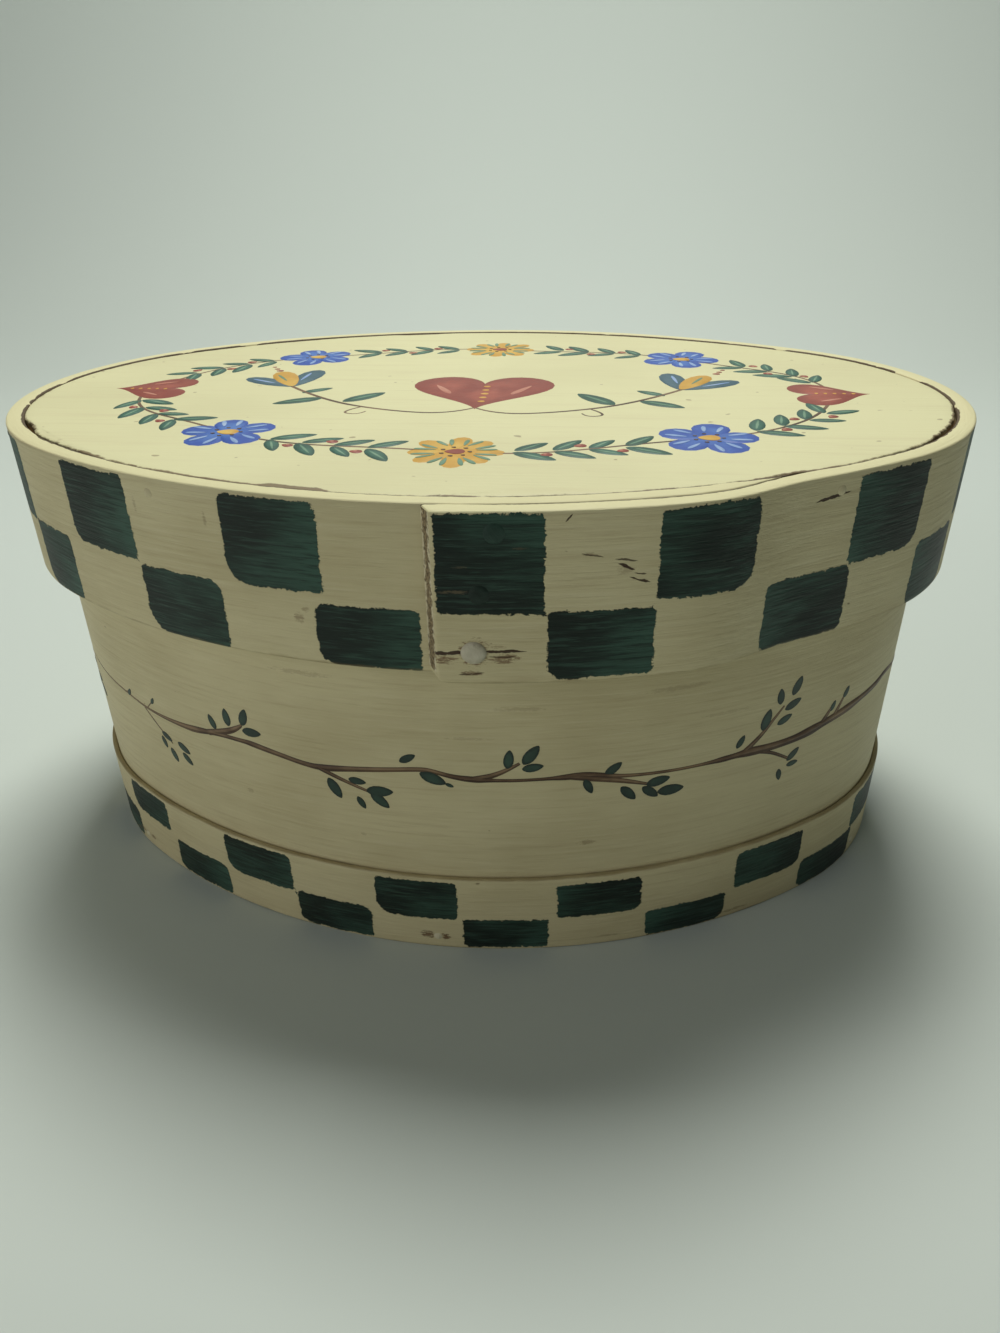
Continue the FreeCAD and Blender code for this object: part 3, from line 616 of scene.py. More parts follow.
hoop = dressed("foot_hoop_bent", hoop_mesh, checked_hoop)
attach(hoop, "box")
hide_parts("foot_hoop")

# Brads round the foot
# Thin nails through hoop and wall into the base board, and two short ones that close the hoop at
# the back. Their small heads were painted over with the hoop, and rust shows through.
green_hoop_brads = ((283.3, 11.3), (283.3, 16), (383, 3.2))
brad_reach = 3 * mm
brad_blend = 0.5 * mm


def at_spots(finish, place, inset, spots):
    """1 close to some spots on an oval, each given by its run and height in millimetres."""
    near = 0
    for run, height in spots:
        spot = (*on_oval(np.array([run * mm]), inset)[0][0], height * mm)
        away = finish.node("ShaderNodeVectorMath", {"operation": "DISTANCE"}, {0: place, 1: spot}, 1)
        near = (1 - away.rise(brad_reach, brad_reach + brad_blend)).larger(near)
    return near


def paint_brads(finish, nodes, inset, green_spots, ivory, worn, rust_from, strength, dullness):
    """Paint the brads of some CAD nodes like their strip: ivory, or green at the given spots, with
    brown coming through."""
    place = finish.object_place()
    rust = finish.noise(place, (900, 900, 900), 3, 0.6)
    colour = finish.layers(ivory, (at_spots(finish, place, inset, green_spots), (0.014, 0.032, 0.022)),
                           (rust.rise(*rust_from) * strength, worn))
    finish.finish(colour, rust * dullness + 0.5, rust * 0.0001)
    for node in nodes:
        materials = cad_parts[node].data.materials
        materials.clear()
        materials.append(finish.material)


paint_brads(Finish("rusty_brad", metallic=0.1), ("base_brads", "hoop_joint_brads"), hoop_inset,
            green_hoop_brads, ivory=(0.74, 0.68, 0.48), worn=(0.16, 0.075, 0.035),
            rust_from=(0.52, 0.68), strength=0.8, dullness=0.3)

# Painted border
# A brown twig with sprigs of dark leaves, brushed round the middle of the wall in thick paint that
# stands a hair proud. It swells at its forks and thins to a light line between them.
paint_lift = 0.12 * mm
twig_flatness = 0.14


def brushed_line(name, strokes, flatness):
    """Flat lines of paint, each through points of run, height and width in millimetres."""
    curve = bpy.data.curves.new(name, "CURVE")
    curve.dimensions = "3D"
    curve.bevel_depth = 0.5 * mm
    curve.bevel_resolution = 2
    curve.use_fill_caps = True
    for points in strokes:
        spline = curve.splines.new("NURBS")
        spline.points.add(len(points) - 1)
        for point, (run, height, width) in zip(spline.points, points):
            point.co = (run * mm, 0, height * mm, 1)
            point.radius = width
        spline.order_u = 3
        spline.use_endpoint_u = True
        spline.resolution_u = 6
    carrier = bpy.data.objects.new(name, curve)
    mesh = bpy.data.meshes.new_from_object(carrier)
    bpy.data.objects.remove(carrier)
    bpy.data.curves.remove(curve)
    bm = bmesh.new()
    bm.from_mesh(mesh)
    bpy.data.meshes.remove(mesh)
    bmesh.ops.scale(bm, vec=(1, flatness, 1), verts=bm.verts[:])
    return bm


def dab(bm, outline, run, height, turn, lift):
    """A dab of thick paint: a low crowned patch with that outline, in run and height. It carries
    how near each point is to its middle."""
    rim_share = 0.7
    skirt_spread = 1.04
    skirt_share = 0.3
    nearness = bm.verts.layers.float.get("middle") or bm.verts.layers.float.new("middle")
    made = bmesh.ops.create_circle(bm, cap_ends=True, cap_tris=True, segments=len(outline), radius=1)
    middle, *rim = made["verts"]
    middle.co = (0, -lift, 0)
    middle[nearness] = 1
    for vert, (across, up) in zip(rim, outline):
        vert.co = (across, -lift * rim_share, up)
    faces = list({face for vert in made["verts"] for face in vert.link_faces})
    skirt = bmesh.ops.extrude_face_region(bm, geom=faces, use_keep_orig=True)["geom"]
    base = [part for part in skirt if isinstance(part, bmesh.types.BMVert)]
    for vert in base:
        vert.co = (vert.co.x * skirt_spread, lift * skirt_share, vert.co.z * skirt_spread)
    place = Matrix.Translation((run, 0, height)) @ Matrix.Rotation(-turn, 4, "Y")
    bmesh.ops.transform(bm, matrix=place, verts=made["verts"] + base)


def even_turns(steps):
    """That many even turns round a circle."""
    return [2 * math.pi * number / steps for number in range(steps)]


def leaf_outline(length, width, steps=16):
    """A leaf that is round at its stem and narrower at its tip, centred on its middle."""
    outline = []
    for turn in even_turns(steps):
        along = math.cos(turn)
        taper = (1 - (along + 1) / 2 * 0.25) * (1 - abs(along) ** 4 * 0.35)
        outline.append((along * length / 2, math.sin(turn) * width / 2 * taper))
    return outline


# The twig's points of run, height and width. Each sprig has a stem in the same way, and its leaves
# as run, height, turn in degrees and length.
front_twig = [(-104, 51, 0.4), (-94, 49.4, 0.45), (-85, 48.2, 0.5), (-78.8, 47.1, 0.6),
              (-72, 46.8, 0.9), (-64, 47, 1.5), (-61, 47.3, 1.9), (-55, 48.3, 1.1), (-47, 48.5, 1.1),
              (-45, 48.4, 1.6), (-38, 47.4, 1.3), (-31, 46.2, 1.3), (-27, 46.3, 1.8), (-22, 47, 1.4),
              (-14, 48, 1.2), (-6, 49, 1.2), (-3.6, 48.6, 1.1), (0.4, 47.4, 1.2), (5, 46.9, 1.7),
              (8, 46.8, 0.9), (13, 46.7, 0.8), (20, 47, 0.8), (23, 47.1, 1.5), (27, 47.4, 1.8),
              (31, 46.9, 1.5), (36, 46.1, 0.9), (46, 45.8, 0.75), (55, 46, 0.9), (57.4, 46.1, 1.6),
              (61, 46.3, 1.4), (64, 46.4, 2.5), (69, 46.1, 2.1), (76, 46.2, 2), (81, 46.9, 2.8),
              (84, 47.5, 2), (90, 48.6, 2.3), (93, 49.2, 2.5), (97, 49.9, 1.7), (104, 50.8, 1.9),
              (109, 52, 1.5)]
front_sprigs = [
    ([(-79, 47, 0.5), (-74, 42.4, 0.45), (-70.5, 40, 0.4)],
     [(-72.2, 41.4, -25, 3.4), (-73.6, 39.4, -68, 3), (-70.7, 36.8, -62, 3.6),
      (-66.6, 40.2, -28, 4), (-66, 37.4, -42, 3.6)]),
    ([(-57, 47.9, 1.6), (-51.5, 49.6, 1.7), (-48, 51.6, 1.3), (-46.8, 52.6, 0.7)],
     [(-55.2, 51.2, 112, 3.6), (-50.7, 53.6, 96, 4.2), (-46, 54.8, 72, 4.4), (-44.4, 51.4, 4, 4.6)]),
    ([(-29, 46.2, 1.2), (-23.5, 43.8, 1), (-17.8, 41.8, 0.7)],
     [(-25.5, 41.4, -62, 5.2), (-20.2, 44.2, -6, 3.7), (-19.7, 38.6, -62, 3.2), (-15.4, 42.2, 4, 5.6),
      (-15.5, 39.9, -44, 5)]),
    ([], [(-8.9, 51.4, 30, 3.7), (-3.8, 46.8, -24, 5.6), (-0.4, 45.3, -24, 1.8)]),
    ([(2.6, 46.9, 1), (5, 47, 1.6), (10, 48.4, 1.2), (14, 51, 0.7)],
     [(11.8, 52, 84, 4.4), (16.3, 53, 55, 5.2), (16.7, 49.9, 10, 4.2)]),
    ([(24, 47.2, 1.4), (31, 46, 1.5), (36.5, 44.8, 1.2), (41, 43.3, 0.7)],
     [(28.2, 44.4, -66, 3.8), (33.3, 48.3, 40, 4.2), (36.8, 41.6, -48, 4.6), (41.6, 41.2, -40, 4.4),
      (43.2, 43.7, 12, 5), (46.2, 40.9, 2, 5.6)]),
    ([(64, 46.4, 1), (69, 45.2, 0.9), (73.2, 42.8, 0.8), (76, 40.9, 0.7)],
     [(76.6, 42.1, 42, 3.8), (76.8, 39.6, 4, 3), (73.4, 37.6, -80, 3)]),
    ([(62.6, 46.4, 1.5), (66.2, 49.2, 1.2), (69.6, 53.4, 0.8), (71.8, 56, 0.5)],
     [(61.7, 49.6, 62, 3.2), (67.6, 53.6, 76, 5), (72.5, 52.4, 24, 3.8), (74.2, 55.8, 24, 4.2),
      (70.5, 58.6, 96, 3.8), (74.6, 60.2, 68, 4.4)]),
    ([(83.8, 47.6, 1.4), (85.4, 49.8, 1.1), (86.8, 51.8, 0.7)], [(86.7, 51.4, 68, 2.6)]),
    ([(87.6, 48.4, 1.2), (89, 51, 0.9), (90.6, 54.2, 0.5)], [(90.4, 53.8, 66, 2.8)]),
    ([(-78, 47, 0.3), (-75.6, 49.4, 0.3)], [(-75, 50, 60, 2)]),
    ([(-87, 48.2, 0.3), (-85, 48.9, 0.3)], [(-84.6, 48.9, 60, 2.2)]),
]


def twig_behind(start, end, seed):
    """The twig's way round the back, with sprigs above and below it in turn."""
    hand = random.Random(seed)
    steps = 30
    level = 48
    hump_over_tacks = 6
    points = []
    for number in range(1, steps):
        swell = 1.3 if number % 3 == 0 else 0.75
        run = start[0] + (end[0] - start[0]) * number / steps
        hump = hump_over_tacks * math.exp(-((run - wall_length / mm / 2) / 22) ** 2)
        height = level + hump + 1.6 * math.sin(number * 1.1) + hand.uniform(-0.5, 0.5)
        points.append((run, height, swell + hand.uniform(-0.15, 0.2)))
    sprigs = []
    for number in range(1, len(points), 3):
        run, height, _ = points[number + 1 if number + 1 < len(points) else number]
        side = 1 if number % 2 else -1
        rise = hand.uniform(5.5, 8)
        stem = [(run, height, 1.1), (run + 3.6, height + side * rise * 0.45, 0.8),
                (run + 7.5, height + side * rise, 0.5)]
        leaves = []
        for share in (0.35, 0.6, 0.85, 1.1):
            off = 1.9 if len(leaves) % 2 else -1.9
            leaves.append((run + 7.5 * share - off * side * 0.6, height + side * rise * share + off,
                           side * (38 + (34 if len(leaves) % 2 else -30) * side)
                           + hand.uniform(-8, 8), hand.uniform(3.2, 4.8)))
        leaves.append((run + 11.2, height + side * (rise + 1.6), side * 30, 4.2))
        sprigs.append((stem, leaves))
    return points, sprigs


first_point = front_twig[0]
around = (first_point[0] + wall_length / mm, *first_point[1:])
back_points, back_sprigs = twig_behind(front_twig[-1], around, seed=21)
sprigs = front_sprigs + back_sprigs
twig_lines = [front_twig + back_points + [around]]
twig_lines += [stem for stem, _ in sprigs if stem]
twig_light_share = 0.5
twig_light_rise = 0.13


def wood_paint(name, deep, pale, bent=True):
    """Thin brown paint, streaked along the brush, on a bent strip or on the flat lid."""
    finish = Finish(name)
    place = finish.mark("flat", "Vector") if bent else finish.object_place()
    tone = finish.noise(place, (75, 75, 160), 3, 0.6)
    streak = finish.noise(place, (260, 900, 1900), 3, 0.6)
    colour = finish.layers(deep, (tone.rise(0.38, 0.62), pale), (streak.rise(0.56, 0.72) * 0.5, pale))
    finish.finish(colour, streak * 0.2 + 0.45, streak * 0.00006)
    return finish


twig_tones = (("border_twig_dark", 1, 0, (0.052, 0.026, 0.014), (0.135, 0.078, 0.040)),
              ("border_twig_light", twig_light_share, twig_light_rise, (0.115, 0.062, 0.032),
               (0.30, 0.195, 0.105)))
for name, share, rise, deep, pale in twig_tones:
    lines = [[(run, height + rise * width, width * share) for run, height, width in line]
             for line in twig_lines]
    flatness = twig_flatness if share == 1 else twig_flatness / share * 1.5
    twig = dressed(name, bend(name, brushed_line(name, lines, flatness), wall_inset),
                   wood_paint(name, deep, pale))
    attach(twig, "box")

leaf_width_share = 0.54
leaf_length_share = 1.04
leaves_bm = bmesh.new()
for _, leaves in sprigs:
    for run, height, turn, length in leaves:
        outline = leaf_outline(length * leaf_length_share * mm, length * leaf_width_share * mm)
        dab(leaves_bm, outline, run * mm, height * mm, math.radians(turn), paint_lift)


def leaf_paint(name, deep, pale, bent=True):
    """Thick paint, streaked along the brush and a little glossy, on a bent strip or the flat lid."""
    finish = Finish(name)
    place = finish.mark("flat", "Vector") if bent else finish.object_place()
    streak = finish.noise(place, (700, 700, 700), 3, 0.6)
    tone = finish.noise(place, (110, 110, 110), 2, 0.5)
    body = finish.mark("middle") + (streak - 0.5) * 0.8
    colour = finish.layers(deep, (tone.rise(0.3, 0.7) * body.rise(0, 0.55), pale),
                           (streak.rise(0.55, 0.72) * 0.3, pale))
    finish.finish(colour, streak * 0.2 + 0.38, streak * 0.00007)
    return finish


leaf_green = leaf_paint("leaf_green", (0.010, 0.025, 0.018), (0.032, 0.078, 0.054))
border_leaves = dressed("border_leaves", bend("border_leaves", leaves_bm, wall_inset), leaf_green)
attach(border_leaves, "box")

# Lid strip
# A short thick strip bent round the top board. Its outer end starts at a bevel in the middle of
# the front, lies over the feathered inner end, and comes down to a single layer on the right.
lid_low, lid_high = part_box("lid_strip")
lid_thickness = 3.8 * mm
lid_arris = 0.45 * mm
lap_rise = -half_width - lid_low.y
lap_run = 42.6 * mm
lap_end = 72.1 * mm
inner_end = 65 * mm
end_bevel = 2.2 * mm
bevel_reach = 3 * mm
end_arris = 0.4 * mm
end_corner = 1.6 * mm
top_band = 2 * mm
lid_length = oval_length(0)


def lap_height(run):
    """How far the outer layer stands out: all the way over the lap, then down in two even bends."""
    share = min(max((run - lap_run) / (lap_end - lap_run), 0), 1)
    return lap_rise * (1 - 2 * share**2 if share < 0.5 else 2 * (1 - share) ** 2)


lid_plank = plank(0, lid_length + inner_end, lid_low.z, lid_high.z, lid_thickness, lid_arris,
                  check_step, rows=32)
outer_end = min(lid_plank.faces, key=lambda face: (face.calc_center_median().x, -len(face.verts)))
outer_end.material_index = 1
bmesh.ops.bevel(lid_plank, geom=list(outer_end.edges), offset=end_arris, segments=2, profile=0.5,
                affect="EDGES", material=0)
ripple(lid_plank, lid_low.z, lid_high.z, depth=0.2 * mm, waves=(19, 37, 71), seed=8)
depth_mark = lid_plank.verts.layers.float.new("layer_depth")
for vert in lid_plank.verts:
    run, depth, height = vert.co
    vert[depth_mark] = depth
    past = end_corner - run
    if past > 0:
        cut = end_corner - math.sqrt(max(end_corner**2 - past**2, 0))
        vert.co.z += cut * (lid_high.z - height) / (lid_high.z - lid_low.z)
    if run > lid_length:
        top = max(0, lid_thickness + glue_gap - lap_height(run - lid_length))
        top = min(top, lid_thickness - feather_tip)
        vert.co.y = top + depth * (1 - top / lid_thickness)
        vert[depth_mark] = vert.co.y
    else:
        vert.co.y -= lap_height(run)
    vert.co.x -= end_bevel * depth / lid_thickness * max(0, 1 - run / bevel_reach)
lid_mesh = bend("lid_strip_bent", lid_plank, 0)
lid_upper = check_row([(-82, -62.5, 90.3, 107.2, (3, 0.8, 0.8, 0.6)),
                       (-40.1, -20.9, 89.9, 107.1, (4.2, 1.3, 0.6, 0.5)),
                       (0.4, 18.5, 89.3, 107.6, (0.8, 0.6, 0.6, 0.5)),
                       (37.6, 56.1, 90.6, 107.3, (1.2, 0.6, 1.1, 4)),
                       (78.9, 98.2, 89.5, 107, (1, 0.8, 0.8, 4))],
                      low=89.8, high=107.2, length=lid_length, count=10, seed=13)
lid_lower = check_row([(-101.5, -85.8, 75.5, 90.2, (4, 0.8, 1, 0.6)),
                       (-62.2, -42.4, 75.4, 89.7, (4.5, 0.8, 2.6, 0.5)),
                       (-23.2, -3.3, 75.4, 87.9, (3.5, 2.2, 1.2, 0.6)),
                       (19.1, 37.8, 76.3, 89.6, (2.6, 1.6, 0.6, 0.9)),
                       (60, 80.2, 75.5, 89.5, (0.6, 1.6, 2, 2.2)),
                       (99.7, 117.3, 75.5, 89.3, (1, 1.5, 1.5, 2.5))],
                      low=75.5, high=89.4, length=lid_length, count=9, seed=14)
brush_checks(lid_mesh, lid_upper + lid_lower, lid_thickness - lap_rise / 2, lid_length)

checked_lid = Finish("painted_strip")
lid_place = checked_lid.mark("flat", "Vector")
lid_up = checked_lid.parts(lid_place)[2]
round_lid = lid_length / mm
lid_marks = [(0.9, 80.3, 3.6, 1.2, 0.8), (11.6, 80.6, 3.6, 1.1, 0.75), (6, 77.6, 2.3, 0.7, 0.75),
             (10.8, 83, 1.8, 0.5, 0.4), (6.6, 81.8, 3.3, 3.3, 0.85), (31.8, 96.8, 2.2, 0.9, 0.3),
             (25.6, 100.2, 1.2, 0.4, 0.4), (30.6, 86.8, 3, 0.5, 0.25),
             (round_lid - 43.4, 101.8, 0.5, 1.9, 0.35), (round_lid - 60.2, 102, 0.5, 1.9, 0.3),
             (round_lid - 26.4, 84.5, 1.2, 1.4, 0.5), (round_lid - 24.9, 86.4, 1, 0.7, 0.4),
             (182, 99, 3, 0.8, 0.5), (262, 86, 3, 0.7, 0.5), (400, 95, 2.2, 1.2, 0.4),
             (round_lid - 150, 99, 3, 0.7, 0.5)]
lid_scrapes = [(3.4, 93.6, 3.6, 0.45, 0.55), (4.6, 98.2, 1.4, 0.3, 0.3),
               (14.5, 101.6, 1.4, 0.3, 0.3)]
lid_splits = [(-2.6, 81.5, 5.6, 82, 0.66, 0.95), (7.6, 82, 15.8, 82.1, 0.44, 0.95),
              (9, 81, 14, 80.9, 0.26, 0.7), (3.6, 77.3, 8.4, 77.7, 0.34, 0.7),
              (30.6, 98.2, 33.6, 96.9, 0.5, 0.95), (30, 99, 34, 98.6, 0.3, 0.8),
              (32.6, 95.7, 36.4, 94.3, 0.45, 0.95), (33.4, 96.4, 35.6, 96, 0.28, 0.8),
              (24.4, 100.4, 28.2, 99.6, 0.28, 0.7), (68.6, 103.4, 77, 104.4, 0.6, 0.95),
              (21.7, 106, 22.9, 107.4, 0.4, 0.9), (150, 92.3, 158, 92, 0.4, 0.8),
              (260, 99.2, 267, 99, 0.4, 0.8), (round_lid - 155, 84, round_lid - 147, 84.2, 0.4, 0.8)]
lid_split = cracks(checked_lid, lid_place, lid_splits)
lid_ivory, *lid_paint = ivory_paint(checked_lid, lid_place)
# The strip's top edge is painted in the board's lighter, yellower ivory: painted light from the lamp
# above. The stains go over it.
lid_ivory = checked_lid.layers(
    lid_ivory, ((lid_up - (lid_high.z - 0.5 * mm)).rise(0, 0.4 * mm) * 0.9, (0.745, 0.71, 0.43)),
    (stains(checked_lid, lid_place, lid_marks), (0.17, 0.08, 0.036)))
lid_look = green_checks(checked_lid, lid_place, (lid_ivory, *lid_paint))
# Where the layers meet on top, a broken line of dirt
top_breaks = checked_lid.noise(lid_place, (60, 60, 60), 3, 0.6)
top_hairs = checked_lid.noise(lid_place, (300, 600, 600), 3, 0.7)
layer_depth = checked_lid.mark("layer_depth")
dirt_width = top_breaks.rise(0.30, 0.44) * (0.7 * mm) + (top_hairs - 0.6) * (0.7 * mm)
dirt = (layer_depth - lid_thickness + dirt_width).rise(-0.03 * mm, 0.07 * mm)
dirt = dirt * (lid_up - (lid_high.z - top_band)).rise(0, 0.5 * mm)
lid_colour = checked_lid.layers(
    lid_look[0], (stains(checked_lid, lid_place, lid_scrapes), (0.17, 0.13, 0.075)),
    (lid_split, (0.045, 0.018, 0.010)),
    # Darker along the strip's lower edge, in a patchy brown band.
    edge_darkening(checked_lid, lid_place, lid_up - lid_low.z, width=0.9 * mm, strength=0.6),
    (dirt * 0.95, (0.075, 0.042, 0.020)))
lid_wood = bare_wood(checked_lid, lid_place)
bare_side = (layer_depth - (lid_thickness - 0.35 * mm)).rise(0, 0.1 * mm)
bare_side = bare_side * (lid_high.z - top_band - lid_up).rise(0, 0.5 * mm)
lid_painted = 1 - bare_side
checked_lid.finish(checked_lid.blend(lid_painted, lid_wood[0], lid_colour),
                   lid_painted * (lid_look[1] - lid_wood[1]) + lid_wood[1],
                   lid_painted * (lid_look[2] - lid_split * (0.25 * mm)) + bare_side * lid_wood[2])

# The bevelled end is gritty end grain, with paint caught on both of its arrises
end_grain = Finish("strip_end_grain")
end_place = end_grain.mark("flat", "Vector")
end_depth = end_grain.mark("layer_depth")
end_pores = end_grain.noise(end_place, (2400, 2400, 1700), 3, 0.7)
end_dust = end_grain.noise(end_place, (900, 900, 700), 4, 0.75)
end_sway = end_grain.noise(end_place, (160, 160, 160), 2, 0.6)
near_side = (lid_thickness / 2 - (end_depth - lid_thickness / 2).math("ABSOLUTE")) / mm
caught = (end_dust * 4.4 + end_sway * 1.4 - near_side * 0.9 - 1.9).rise(0.1, 0.5)
end_colour = end_grain.layers((0.095, 0.06, 0.028), (end_pores.rise(0.42, 0.56), (0.36, 0.27, 0.145)),
                              (caught, (0.74, 0.66, 0.46)))
end_grain.finish(end_colour, end_pores * 0.2 + 0.62, end_pores * 0.00025 + end_dust * 0.0002)
lid_strip = dressed("lid_strip_bent", lid_mesh, checked_lid, end_grain)
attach(lid_strip, "lid")
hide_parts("lid_strip")

# Lid board
# The flat oval top, pressed into its strip until both are all but level, and painted over with it.
# The wood has shrunk, so a dark broken crack shows round it and widens at its two ends. Its ivory
# is painted lighter and yellower than the sides', as painted light from the lamp above.
top_low, top_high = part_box("lid_top_board")
top_set_down = 0.3 * mm
top_level = top_high.z - top_set_down
top_paint_down = 1.2 * mm
top_arris = 0.35 * mm
filled_gap = 0.03 * mm
smear_middle = -26 * mm
smear_reach = 8 * mm
# Cracks: run from and to round the board, and their widest gap
rim_cracks = ((-112, -99, 1.4), (-106, -72, 0.75), (-74, -52, 0.24), (-47, -42, 0.35), (-31, -20, 0.3),
              (-2, 5.5, 0.45), (7, 31, 0.5), (33, 60, 0.3), (58, 70, 1.1), (70, 84, 0.3),
              (80, 106, 0.9), (97, 124, 1.3), (116, 134, 0.7), (150, 178, 0.45), (215, 262, 0.4),
              (300, 318, 0.5), (352, 402, 0.4))
top_runs = np.arange(board_steps * 2) * oval_length(lid_thickness) / (board_steps * 2)
crack_gap = np.full(len(top_runs), filled_gap)
for start, end, gap in rim_cracks:
    length = (end - start) * mm
    into = np.mod(top_runs - start * mm, oval_length(lid_thickness)) / length
    shape = np.where(into < 1, np.sin(np.pi * np.clip(into, 0, 1)) ** 0.6, 0)
    crumbly = 0.75 + 0.25 * np.sin(top_runs * 900) * np.sin(top_runs * 2300 + start)
    crack_gap = np.maximum(crack_gap, gap * mm * shape * crumbly)
top_board = oval_board(top_runs, lid_thickness, crack_gap, top_low.z, top_level, top_arris)

painted_top = Finish("painted_board")
top_place = painted_top.object_place((math.pi / 2, 0, 0))
top_wood = bare_wood(painted_top, top_place)
top_blotch = painted_top.noise(top_place, (14, 14, 20), 3, 0.55)
top_brush = painted_top.noise(top_place, (18, 120, 260), 3, 0.6)
top_fibres = painted_top.noise(top_place, (40, 1100, 1500), 3, 0.7)
top_specks = painted_top.noise(top_place, (300, 380, 420), 1, 0.4)
top_relief = top_brush * 0.00008 + top_fibres * 0.00009
top_across, _, top_up = painted_top.parts(painted_top.object_place())
top_painted = (top_up - (top_level - top_paint_down)).rise(0, 0.5 * mm)
rim_breaks = painted_top.noise(top_place, (38, 38, 38), 3, 0.6)
rim_hairs = painted_top.noise(top_place, (420, 420, 420), 3, 0.7)
smear = 1 - (top_across - smear_middle).math("ABSOLUTE").rise(smear_reach / 2, smear_reach)
rim_dirt = rim_breaks.rise(0.44, 0.68) * (0.5 * mm) + (rim_hairs - 0.55 + smear * 0.85) * (1.2 * mm)
rim_dirt = (rim_dirt - painted_top.mark("from_rim")).rise(-0.1 * mm, 0.3 * mm)
# The top's ivory is painted lighter and yellower than the sides' ivory: painted light from the lamp
# above, under the paint's own blotches, brush marks, fibres, specks and rim dirt.
lit_top_colour = painted_top.layers(
    (0.75, 0.725, 0.435), (top_blotch.rise(0.35, 0.68), (0.695, 0.665, 0.395)),
    (top_brush.rise(0.5, 0.78) * 0.3, (0.60, 0.52, 0.31)),
    (top_fibres.rise(0.6, 0.8) * 0.3, (0.46, 0.37, 0.22)),
    (top_specks.rise(0.745, 0.78) * 0.6, (0.22, 0.14, 0.07)), (rim_dirt * 0.85, (0.15, 0.09, 0.04)))
painted_top.finish(painted_top.blend(top_painted, top_wood[0], lit_top_colour),
                   top_painted * (top_fibres * 0.18 + 0.42 - top_wood[1]) + top_wood[1],
                   top_painted * top_relief + (1 - top_painted) * top_wood[2])
lid_board = dressed("lid_board_painted", top_board, painted_top)
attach(lid_board, "lid")
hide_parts("lid_top_board")

# Tacks through the lid's lap
# Three tacks in a leaning row behind the bevelled end. The upper two are buried in the green paint
# of a check, and the lowest is ivory, with brown splits running out from it.
lap_tacks = bmesh.new()
tack_faces = 0
# Each tack: its run, its height and how deep its head is driven in, in millimetres
lap_tack_places = ((10.5, 104.4, 0.5), (7.9, 93.2, 0.5), (6.6, 81.8, 0.1))
for number, (run, height, driven) in enumerate(lap_tack_places):
    place, outward = on_oval(np.array([run * mm]), -lap_rise)
    direction = Vector((*outward[0], 0))
    sunk = direction * (driven * mm)
    tack_head(lap_tacks, Vector((*place[0], height * mm)) - sunk, direction, seed=number + 7)
    lap_tacks.faces.ensure_lookup_table()
    for face in lap_tacks.faces[tack_faces:]:
        face.material_index = number
    tack_faces = len(lap_tacks.faces)
upper_tack = tack_paint("painted_upper_tack", (0.017, 0.042, 0.030), (0.026, 0.062, 0.045),
                        (0.030, 0.065, 0.047))
green_tack = tack_paint("painted_green_tack", (0.0065, 0.015, 0.010), (0.012, 0.030, 0.020),
                        (0.024, 0.052, 0.038))
ivory_tack = tack_paint("painted_ivory_tack", (0.50, 0.45, 0.33), (0.62, 0.57, 0.44),
                        (0.33, 0.28, 0.19))
lid_tacks = dressed("lid_lap_tack_heads", lap_tacks, upper_tack, green_tack, ivory_tack)
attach(lid_tacks, "lid")
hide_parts("lid_lap_tacks")

# Brads round the lid
# Thin nails through the strip into the edge of the top board. Their heads lie under the ivory or
# green paint, with a little brown on them.
green_lid_brads = ((207.3, 104.9), (275.8, 104.9), (409.8, 104.9), (474.4, 104.9))
paint_brads(Finish("painted_brad"), ("lid_board_brads",), 0, green_lid_brads,
            ivory=(0.64, 0.56, 0.345), worn=(0.24, 0.15, 0.08), rust_from=(0.58, 0.72),
            strength=0.6, dullness=0.2)

# Painted wreath
# A folk wreath brushed on the lid's top in thick paint: an oval twig with paired leaves and
# berries, flowers and hearts round it, and a large heart between two tulips in the middle. Paler
# strokes lie over the darker ones.
wreath_inset = 29 * mm
wreath_length = oval_length(wreath_inset)
paint_layer = 0.05 * mm
wreath_hand = random.Random(5)
wreath_shades = {"green": ((0.022, 0.085, 0.062), (0.050, 0.165, 0.12)),
                 "pale_green": ((0.13, 0.26, 0.17), (0.22, 0.36, 0.25)),
                 "red": ((0.26, 0.045, 0.030), (0.40, 0.095, 0.062)),
                 "rose": ((0.52, 0.20, 0.14), (0.62, 0.30, 0.22)),
                 "blue": ((0.026, 0.085, 0.42), (0.075, 0.19, 0.56)),
                 "pale_blue": ((0.24, 0.38, 0.68), (0.40, 0.52, 0.74)),
                 "ochre": ((0.62, 0.34, 0.045), (0.76, 0.50, 0.11)),
                 "slate": ((0.040, 0.105, 0.15), (0.085, 0.165, 0.215)),
                 "brown": ((0.085, 0.044, 0.022), (0.16, 0.088, 0.045))}
wreath_paints = {shade: bmesh.new() for shade in wreath_shades}


def heart_outline(size, steps=48):
    """A heart with its point down, centred on its middle."""
    outline = []
    for turn in even_turns(steps):
        across = 16 * math.sin(turn) ** 3
        up = 13 * math.cos(turn) - 5 * math.cos(2 * turn) - 2 * math.cos(3 * turn) - math.cos(4 * turn)
        outline.append((-across * size / 32, (up + 2.5) * size / 32))
    return outline


def petal_outline(length, width, steps=14):
    """A petal, narrow where it starts and broad and round at its tip."""
    outline = []
    for turn in even_turns(steps):
        swell = 0.62 + 0.38 * math.cos(turn)
        outline.append(((math.cos(turn) + 1) * length / 2, math.sin(turn) * width / 2 * swell ** 0.5))
    return outline


